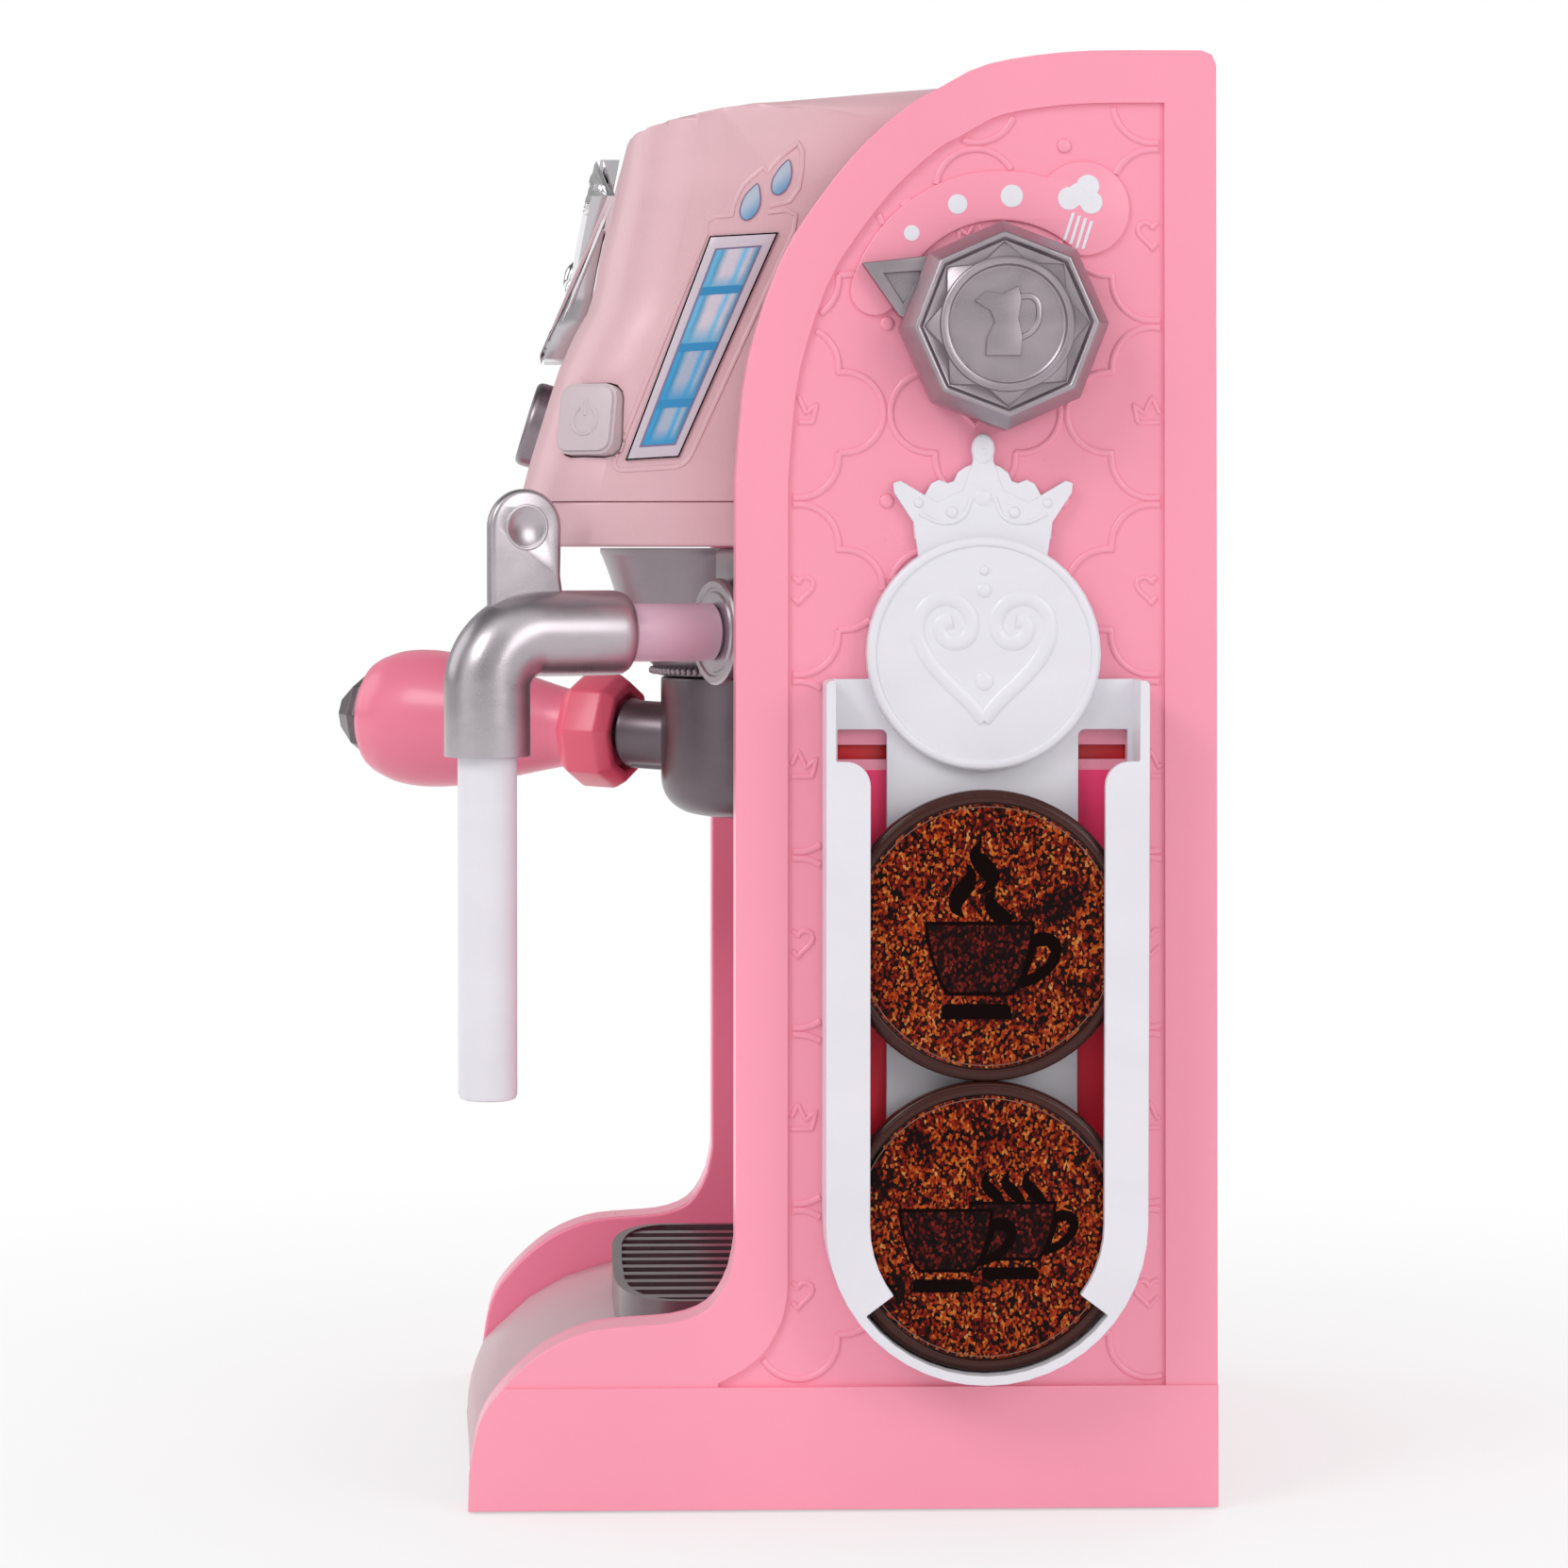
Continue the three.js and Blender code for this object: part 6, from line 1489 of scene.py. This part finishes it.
def cover_relief(rib):
    """A raised frame on the rear cover, a ring round the speaker's slots and one round each screw."""
    (half, _, top), foot, (x, _, z) = high("rear_cover"), low("rear_cover")[2], middle("power_switch_slider")
    side, (wide, below, above) = half - COVER_INSET, BEZEL
    outer = soft_corners(box_outline(-side, foot + COVER_INSET, side, top - COVER_INSET), 8)
    bezel = soft_corners(box_outline(-x - wide, z + below, wide - x, z + above), 2)
    parts = [cord_lines("lines", [outer, bezel], rib, 0.4 * rib, closed=True)]
    for node, radius, width, around in (*(("speaker", radius, 0.8 * rib, 96) for radius in SPEAKER_RINGS),
                                        *((f"rear_screw_{i}", SCREW_RING, rib, 48) for i in range(1, 5))):
        x, _, z = middle(node)
        parts.append(shifted(hoop("ring", radius, width, around=around, flatten=0.6), -x, z))
    return merged("rear_cover_relief", *parts)


class COFFEE_OT_body(bpy.types.Operator):
    """Makes the floor, the drip tray, the column and the rear cover."""
    bl_idname = "coffee.body"
    bl_label = "Floor, tray and back"

    def execute(self, context):
        sizes = in_mm(context.scene.coffee_body)
        levels = [middle(node)[2] for node in ("power_switch_slider", "speaker", "rear_screw_1", "rear_screw_4")]
        for node, finish, rounding, cuts in (
            ("front_floor", "floor_pink", sizes.edge_round, ()),
            ("drip_grille", "grille", sizes.slat_round, ()),
            # painted shade: the column takes the bay's deeper pink
            ("column", "bay_painted_shade", sizes.edge_round, ()),
            ("rear_cover", "hot_pink", sizes.edge_round, levels),
        ):
            shell = copy_of(node, node + "_moulding", rounding, angle=40, levels=cuts)
            settle(shell, finish, node, flat=node != "front_floor")
        back = Matrix(((-1, 0, 0, 0), (0, 0, 1, high("rear_cover")[1]), (0, 1, 0, 0), (0, 0, 0, 1)))
        settle(cover_relief(sizes.rib), "hot_pink", place=back, smooth=50)
        return {"FINISHED"}


# Finishes of the whole machine

GROUNDS = (
    (0.36, (0.006, 0.002, 0.002)), (0.5, (0.09, 0.004, 0.003)), (0.64, (0.27, 0.02, 0.004)),
    (0.76, (0.4, 0.065, 0.008)), (0.86, (0.5, 0.15, 0.025)), (0.98, (0.55, 0.3, 0.1)),
)
DARK_GROUNDS = (
    (0.4, (0.005, 0.002, 0.002)), (0.6, (0.02, 0.002, 0.002)), (0.76, (0.09, 0.006, 0.005)),
    (0.95, (0.22, 0.02, 0.012)),
)
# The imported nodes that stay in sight, under their finishes
DRESSED = {
    "hot_pink": ("base_plate", "battery_door"),
    "zinc": ("battery_door_screw", "base_screw_left", "base_screw_right", "battery_contact_left",
             "battery_contact_right", "steam_knob_clip", "rear_screw_1", "rear_screw_2", "rear_screw_3",
             "rear_screw_4"),
    "jacket": ("battery_1", "battery_2", "battery_3"),
    "dark": ("battery_box", "power_switch_body", "power_switch_slider", "brew_switch", "right_switch", "left_switch",
             "switch_carrier", "lock_ring", "steam_knob_shaft", "speaker"),
    "board": ("circuit_board",),
    "pewter": ("drip_pan",),
}


class COFFEE_PG_finishes(bpy.types.PropertyGroup):
    """The colours of the moulded, plated and printed finishes."""
    hot_pink: colour("Panels", "Hot pink shells", (0.945, 0.33, 0.45))
    pale_pink: colour("Head", "Pale pink pearl shells", (0.69, 0.43, 0.47))
    white: colour("Rack", "White of the rack and the tubes", (0.77, 0.755, 0.805))
    pewter: colour("Pewter", "Grey metal flake", (0.45, 0.41, 0.435))
    knob_pewter: colour("Knob", "Warm grey of the steam knob", (0.36, 0.315, 0.34))
    dark_pewter: colour("Bowl", "Dark grey of the bowl and the cap", (0.15, 0.12, 0.135))
    button: colour("Buttons", "Grey pearl of the corner buttons", (0.56, 0.47, 0.5))
    arm: colour("Arm", "Lilac of the wand's arm", (0.68, 0.47, 0.57))
    pod_brown: colour("Pods", "Brown of the pods", (0.045, 0.011, 0.008))


class COFFEE_OT_finishes(bpy.types.Operator):
    """Makes the finishes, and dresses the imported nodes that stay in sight."""
    bl_idname = "coffee.finishes"
    bl_label = "Finishes"

    def execute(self, context):
        colours = context.scene.coffee_finishes
        FINISHES.update({
            "hot_pink": moulded_plastic("hot_pink_plastic", colours.hot_pink),
            # painted shade inside the panel's slots
            "slot_painted_shade": moulded_plastic("slot_shade_plastic", (0.66, 0.012, 0.02), 0.45),
            "pale_pink": pearl_plastic("pale_pink_pearl", colours.pale_pink, metal=0.05, flakes=0.04),
            "white": pearl_plastic("white_pearl", colours.white),
            "button": pearl_plastic("button_pearl", colours.button, 0.3, flakes=0.04),
            "arm": pearl_plastic("arm_lilac", colours.arm, 0.34),
            # painted shade of the bay's inside
            "bay_painted_shade": moulded_plastic("bay_shade_pink_plastic", (1.0, 0.27, 0.42)),
            "handle_pink": moulded_plastic("handle_pink_plastic", (0.86, 0.21, 0.32)),
            # painted shade of the collar's sunk front, over the whole collar
            "collar_painted_shade": moulded_plastic("collar_shade_pink_plastic", (0.84, 0.12, 0.2)),
            "floor_pink": pearl_plastic("floor_pearl", (0.65, 0.44, 0.475), 0.4, metal=0.05),
            "grille": pewter_plastic("grille_pewter", (0.19, 0.14, 0.155), 0.4),
            # painted shade behind the rack's windows, a deeper red towards the foot
            "rack_painted_shade": painted_shade_finish("rack_painted_shade", (0.95, 0.05, 0.19), (0.95, 0.012, 0.05), 0.155, 0.11),
            "pewter": pewter_plastic("pewter_flake", colours.pewter),
            "knob_pewter": pewter_plastic("knob_pewter", colours.knob_pewter, 0.37),
            "group_pewter": pewter_plastic("group_pewter", (0.27, 0.225, 0.25), 0.33),
            "dark_pewter": pewter_plastic("dark_pewter", colours.dark_pewter, 0.36),
            # painted shade and reflection on the badge's plate
            "painted_shade_chrome": plated("chrome_painted_shade", (0.55, 0.53, 0.55), 0.16),
            "chrome": plated("chrome_plate", (0.84, 0.83, 0.85), 0.06),
            "pod_brown": gloss_brown("pod_brown_gloss", colours.pod_brown),
            "grounds": coffee_print("coffee_grounds", GROUNDS),
            "dark_grounds": coffee_print("dark_grounds", DARK_GROUNDS, 0.2),
            "soot_ink": printed("soot_ink", (0.006, 0.002, 0.002), 1.1, 0.0),
            "white_ink": printed("white_ink", (0.86, 0.84, 0.9)),
            "gauge_blue": printed("gauge_blue", (0.015, 0.25, 0.52)),
            "gauge_slate": printed("gauge_slate", (0.2, 0.17, 0.3)),
            "pale_cell": lit_cell("pale_gauge_cell", (0.08, 0.3, 0.48), (0.6, 0.55, 0.62), 0.0),
            "deep_cell": lit_cell("deep_gauge_cell", (0.02, 0.23, 0.44), (0.42, 0.45, 0.54), 0.15),
            "drop_blue": drop_print("drop_blue", (0.42, 0.5, 0.6), (0.05, 0.28, 0.52)),
            "gauge_grey": printed("gauge_grey", (0.6, 0.53, 0.6)),
            # painted highlight along the pod labels' edges
            "label_edge_glint": printed("label_edge_glint", (0.16, 0.06, 0.035)),
            "dark": satin_plastic("dark_satin", (0.035, 0.035, 0.04)),
            "board": circuit_lacquer("board_lacquer", (0.03, 0.16, 0.08)),
            "jacket": printed("battery_jacket", (0.25, 0.26, 0.28)),
            "zinc": brushed_zinc("zinc_plate", (0.6, 0.6, 0.62)),
        })
        for finish, nodes in DRESSED.items():
            for piece in map(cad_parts.get, nodes):
                if not piece.material_slots:
                    piece.data.materials.append(FINISHES[finish])
                for held in piece.material_slots:
                    held.material = FINISHES[finish]
        return {"FINISHED"}


# Stage and camera

PLAIN_WHITE = (1, 1, 1, 1)
FLOOR_DROP = 0.0005  # how far the floor lies under the machine, in metres
# The greys that shiny pieces mirror, from the side away from the camera (0) to the camera's own side (1)
STUDIO = ((0.0, 0.5), (0.2, 0.35), (0.32, 0.08), (0.6, 0.12), (0.7, 0.6), (0.8, 1.2), (0.9, 0.85), (1.0, 0.5))
# Places, sizes and shares of the lamps' power
LAMPS = {
    "key_lamp": ((1.1, -1.1, 1.3), 0.7, 1.0),
    "side_lamp": ((1.3, 0.9, 0.7), 0.7, 0.5),
    "back_lamp": ((-1.2, 0.8, 1.2), 1.2, 0.6),
    "front_lamp": ((-0.6, -1.4, 0.8), 1.0, 0.5),
}


class COFFEE_PG_stage(bpy.types.PropertyGroup):
    """The camera, the floor and the lamps."""
    eye: FloatVectorProperty(name="Eye", description="Where the camera stands", subtype="XYZ",
                             unit="LENGTH", default=(1.00923, -0.05733, 0.19792))
    aim: FloatVectorProperty(name="Aim", description="What the camera looks at", subtype="XYZ",
                             unit="LENGTH", default=(0.0825, -0.02858, 0.16695))
    lens: FloatProperty(name="Lens", description="Focal length on a 36 mm sensor, in millimetres",
                        default=103.95, min=20.0)
    shift: FloatVectorProperty(name="Shift", description="How far the frame is shifted, in shares of its width",
                               size=2, default=(0.05, -0.0532))
    floor_size: length("Floor", "Width of the floor", 14.0)
    lamp_power: FloatProperty(name="Lamps", description="Power of the main soft lamp", unit="POWER", default=9.0)
    world_light: FloatProperty(name="World", description="Strength of the even light from all round", default=0.7)


def facing(way):
    """The turn of a camera or a lamp that looks along a way."""
    return way.to_track_quat("-Z", "Y").to_euler()


def floor_share(tree):
    """How white the floor is seen: less near the machine, where it keeps the shadow, and wholly further out."""
    place = add_node(tree, "ShaderNodeTexCoord", {}, "Object")
    reach = add_node(tree, "ShaderNodeVectorMath", {0: place}, "Value", operation="LENGTH")
    return add_node(tree, "ShaderNodeMapRange", {0: reach, 1: 0.1, 2: 0.42, 3: 0.55, 4: 1.0})


def mirrored_studio(tree):
    """The greys that shiny pieces mirror: bright ahead and above, with a dark band to the sides."""
    place = add_node(tree, "ShaderNodeTexCoord", {}, "Generated")
    lean = add_node(tree, "ShaderNodeVectorMath", {0: place, 1: (0.97, -0.15, 0.12)}, "Value",
                    operation="DOT_PRODUCT")
    spread = add_node(tree, "ShaderNodeMapRange", {0: lean, 1: -1})
    return set_stops(add_node(tree, "ShaderNodeValToRGB", {0: spread}), [(at, 3 * (grey,)) for at, grey in STUDIO])


def show_white(tree, end, lit, share=None, mirrored=None):
    """Mixes a surface with plain white for the camera, and for what glossy and clear pieces show of it."""
    path = tree.nodes.new("ShaderNodeLightPath").outputs
    camera, glossy = path["Is Camera Ray"], path["Is Glossy Ray"]
    seen, tint = add_node(tree, "ShaderNodeMath", {0: camera, 1: glossy}, operation="MAXIMUM"), PLAIN_WHITE
    if mirrored:
        tint = add_node(tree, "ShaderNodeMixRGB", {0: glossy, 1: PLAIN_WHITE, 2: mirrored})
    if share:
        seen = add_node(tree, "ShaderNodeMath", {0: seen, 1: share}, operation="MULTIPLY")
    white = add_node(tree, "ShaderNodeEmission", {"Color": tint})
    mix = add_node(tree, "ShaderNodeMixShader", {0: seen, 1: lit, 2: white})
    tree.links.new(mix, tree.nodes[end].inputs["Surface"])


class COFFEE_OT_stage(bpy.types.Operator):
    """Sets the camera, the pale floor and the soft lamps."""
    bl_idname = "coffee.stage"
    bl_label = "Stage"

    def execute(self, context):
        scene, settings = context.scene, context.scene.coffee_stage
        way = Vector(settings.aim) - Vector(settings.eye)
        bpy.ops.object.camera_add(location=settings.eye, rotation=facing(way))
        scene.camera = camera = named("camera")
        camera.data.lens = settings.lens
        camera.data.sensor_width = 36.0
        camera.data.shift_x, camera.data.shift_y = settings.shift

        bpy.ops.mesh.primitive_plane_add(size=settings.floor_size, location=(0, 0, -FLOOR_DROP))
        floor = named("floor")
        paper = bpy.data.materials.new("pale_floor")
        paper.use_nodes = True
        shader = paper.node_tree.nodes["Principled BSDF"]
        shader.inputs["Base Color"].default_value = (0.86, 0.86, 0.87, 1)
        shader.inputs["Roughness"].default_value = 0.7
        show_white(paper.node_tree, "Material Output", shader.outputs[0], share=floor_share(paper.node_tree))
        floor.data.materials.append(paper)

        target = (CAD_BOX[0] + CAD_BOX[1]) / 2
        for name, (place, size, share) in LAMPS.items():
            bpy.ops.object.light_add(type="AREA", location=place, rotation=facing(target - Vector(place)))
            lamp = named(name).data
            lamp.shape = "SQUARE"
            lamp.size = size
            lamp.energy = share * settings.lamp_power

        scene.world = world = bpy.data.worlds.new("studio")
        world.use_nodes = True
        air = world.node_tree.nodes["Background"]
        air.inputs["Color"].default_value = PLAIN_WHITE
        air.inputs["Strength"].default_value = settings.world_light
        show_white(world.node_tree, "World Output", air.outputs[0], mirrored=mirrored_studio(world.node_tree))
        scene.view_settings.view_transform = "Standard"
        return {"FINISHED"}


# Panel and registration

GROUPS = {
    "coffee_finishes": COFFEE_PG_finishes,
    "coffee_panels": COFFEE_PG_panels,
    "coffee_rack": COFFEE_PG_rack,
    "coffee_knob": COFFEE_PG_knob,
    "coffee_head": COFFEE_PG_head,
    "coffee_wand": COFFEE_PG_wand,
    "coffee_brew": COFFEE_PG_brew,
    "coffee_body": COFFEE_PG_body,
    "coffee_stage": COFFEE_PG_stage,
}
OPERATORS = (
    COFFEE_OT_finishes,
    COFFEE_OT_panels,
    COFFEE_OT_rack,
    COFFEE_OT_pods,
    COFFEE_OT_knob,
    COFFEE_OT_head,
    COFFEE_OT_wand,
    COFFEE_OT_brew,
    COFFEE_OT_body,
    COFFEE_OT_stage,
)


class COFFEE_PT_maker(bpy.types.Panel):
    """Lists the pieces of the coffee maker in the sidebar."""
    bl_label = "Coffee maker"
    bl_space_type = "VIEW_3D"
    bl_region_type = "UI"
    bl_category = "Coffee maker"

    def draw(self, context):
        for operator in OPERATORS:
            self.layout.operator(operator.bl_idname)
        for name, group in GROUPS.items():
            box = self.layout.box()
            for key in group.__annotations__:
                box.prop(getattr(context.scene, name), key)


def register():
    for part in (*GROUPS.values(), *OPERATORS, COFFEE_PT_maker):
        bpy.utils.register_class(part)
    for name, group in GROUPS.items():
        setattr(bpy.types.Scene, name, PointerProperty(type=group))


def unregister():
    for name in GROUPS:
        delattr(bpy.types.Scene, name)
    for part in (COFFEE_PT_maker, *reversed(OPERATORS), *reversed(GROUPS.values())):
        bpy.utils.unregister_class(part)


def main():
    register()
    for operator in OPERATORS:
        getattr(bpy.ops.coffee, operator.bl_idname.split(".")[1])()


if __name__ == "__main__":
    main()
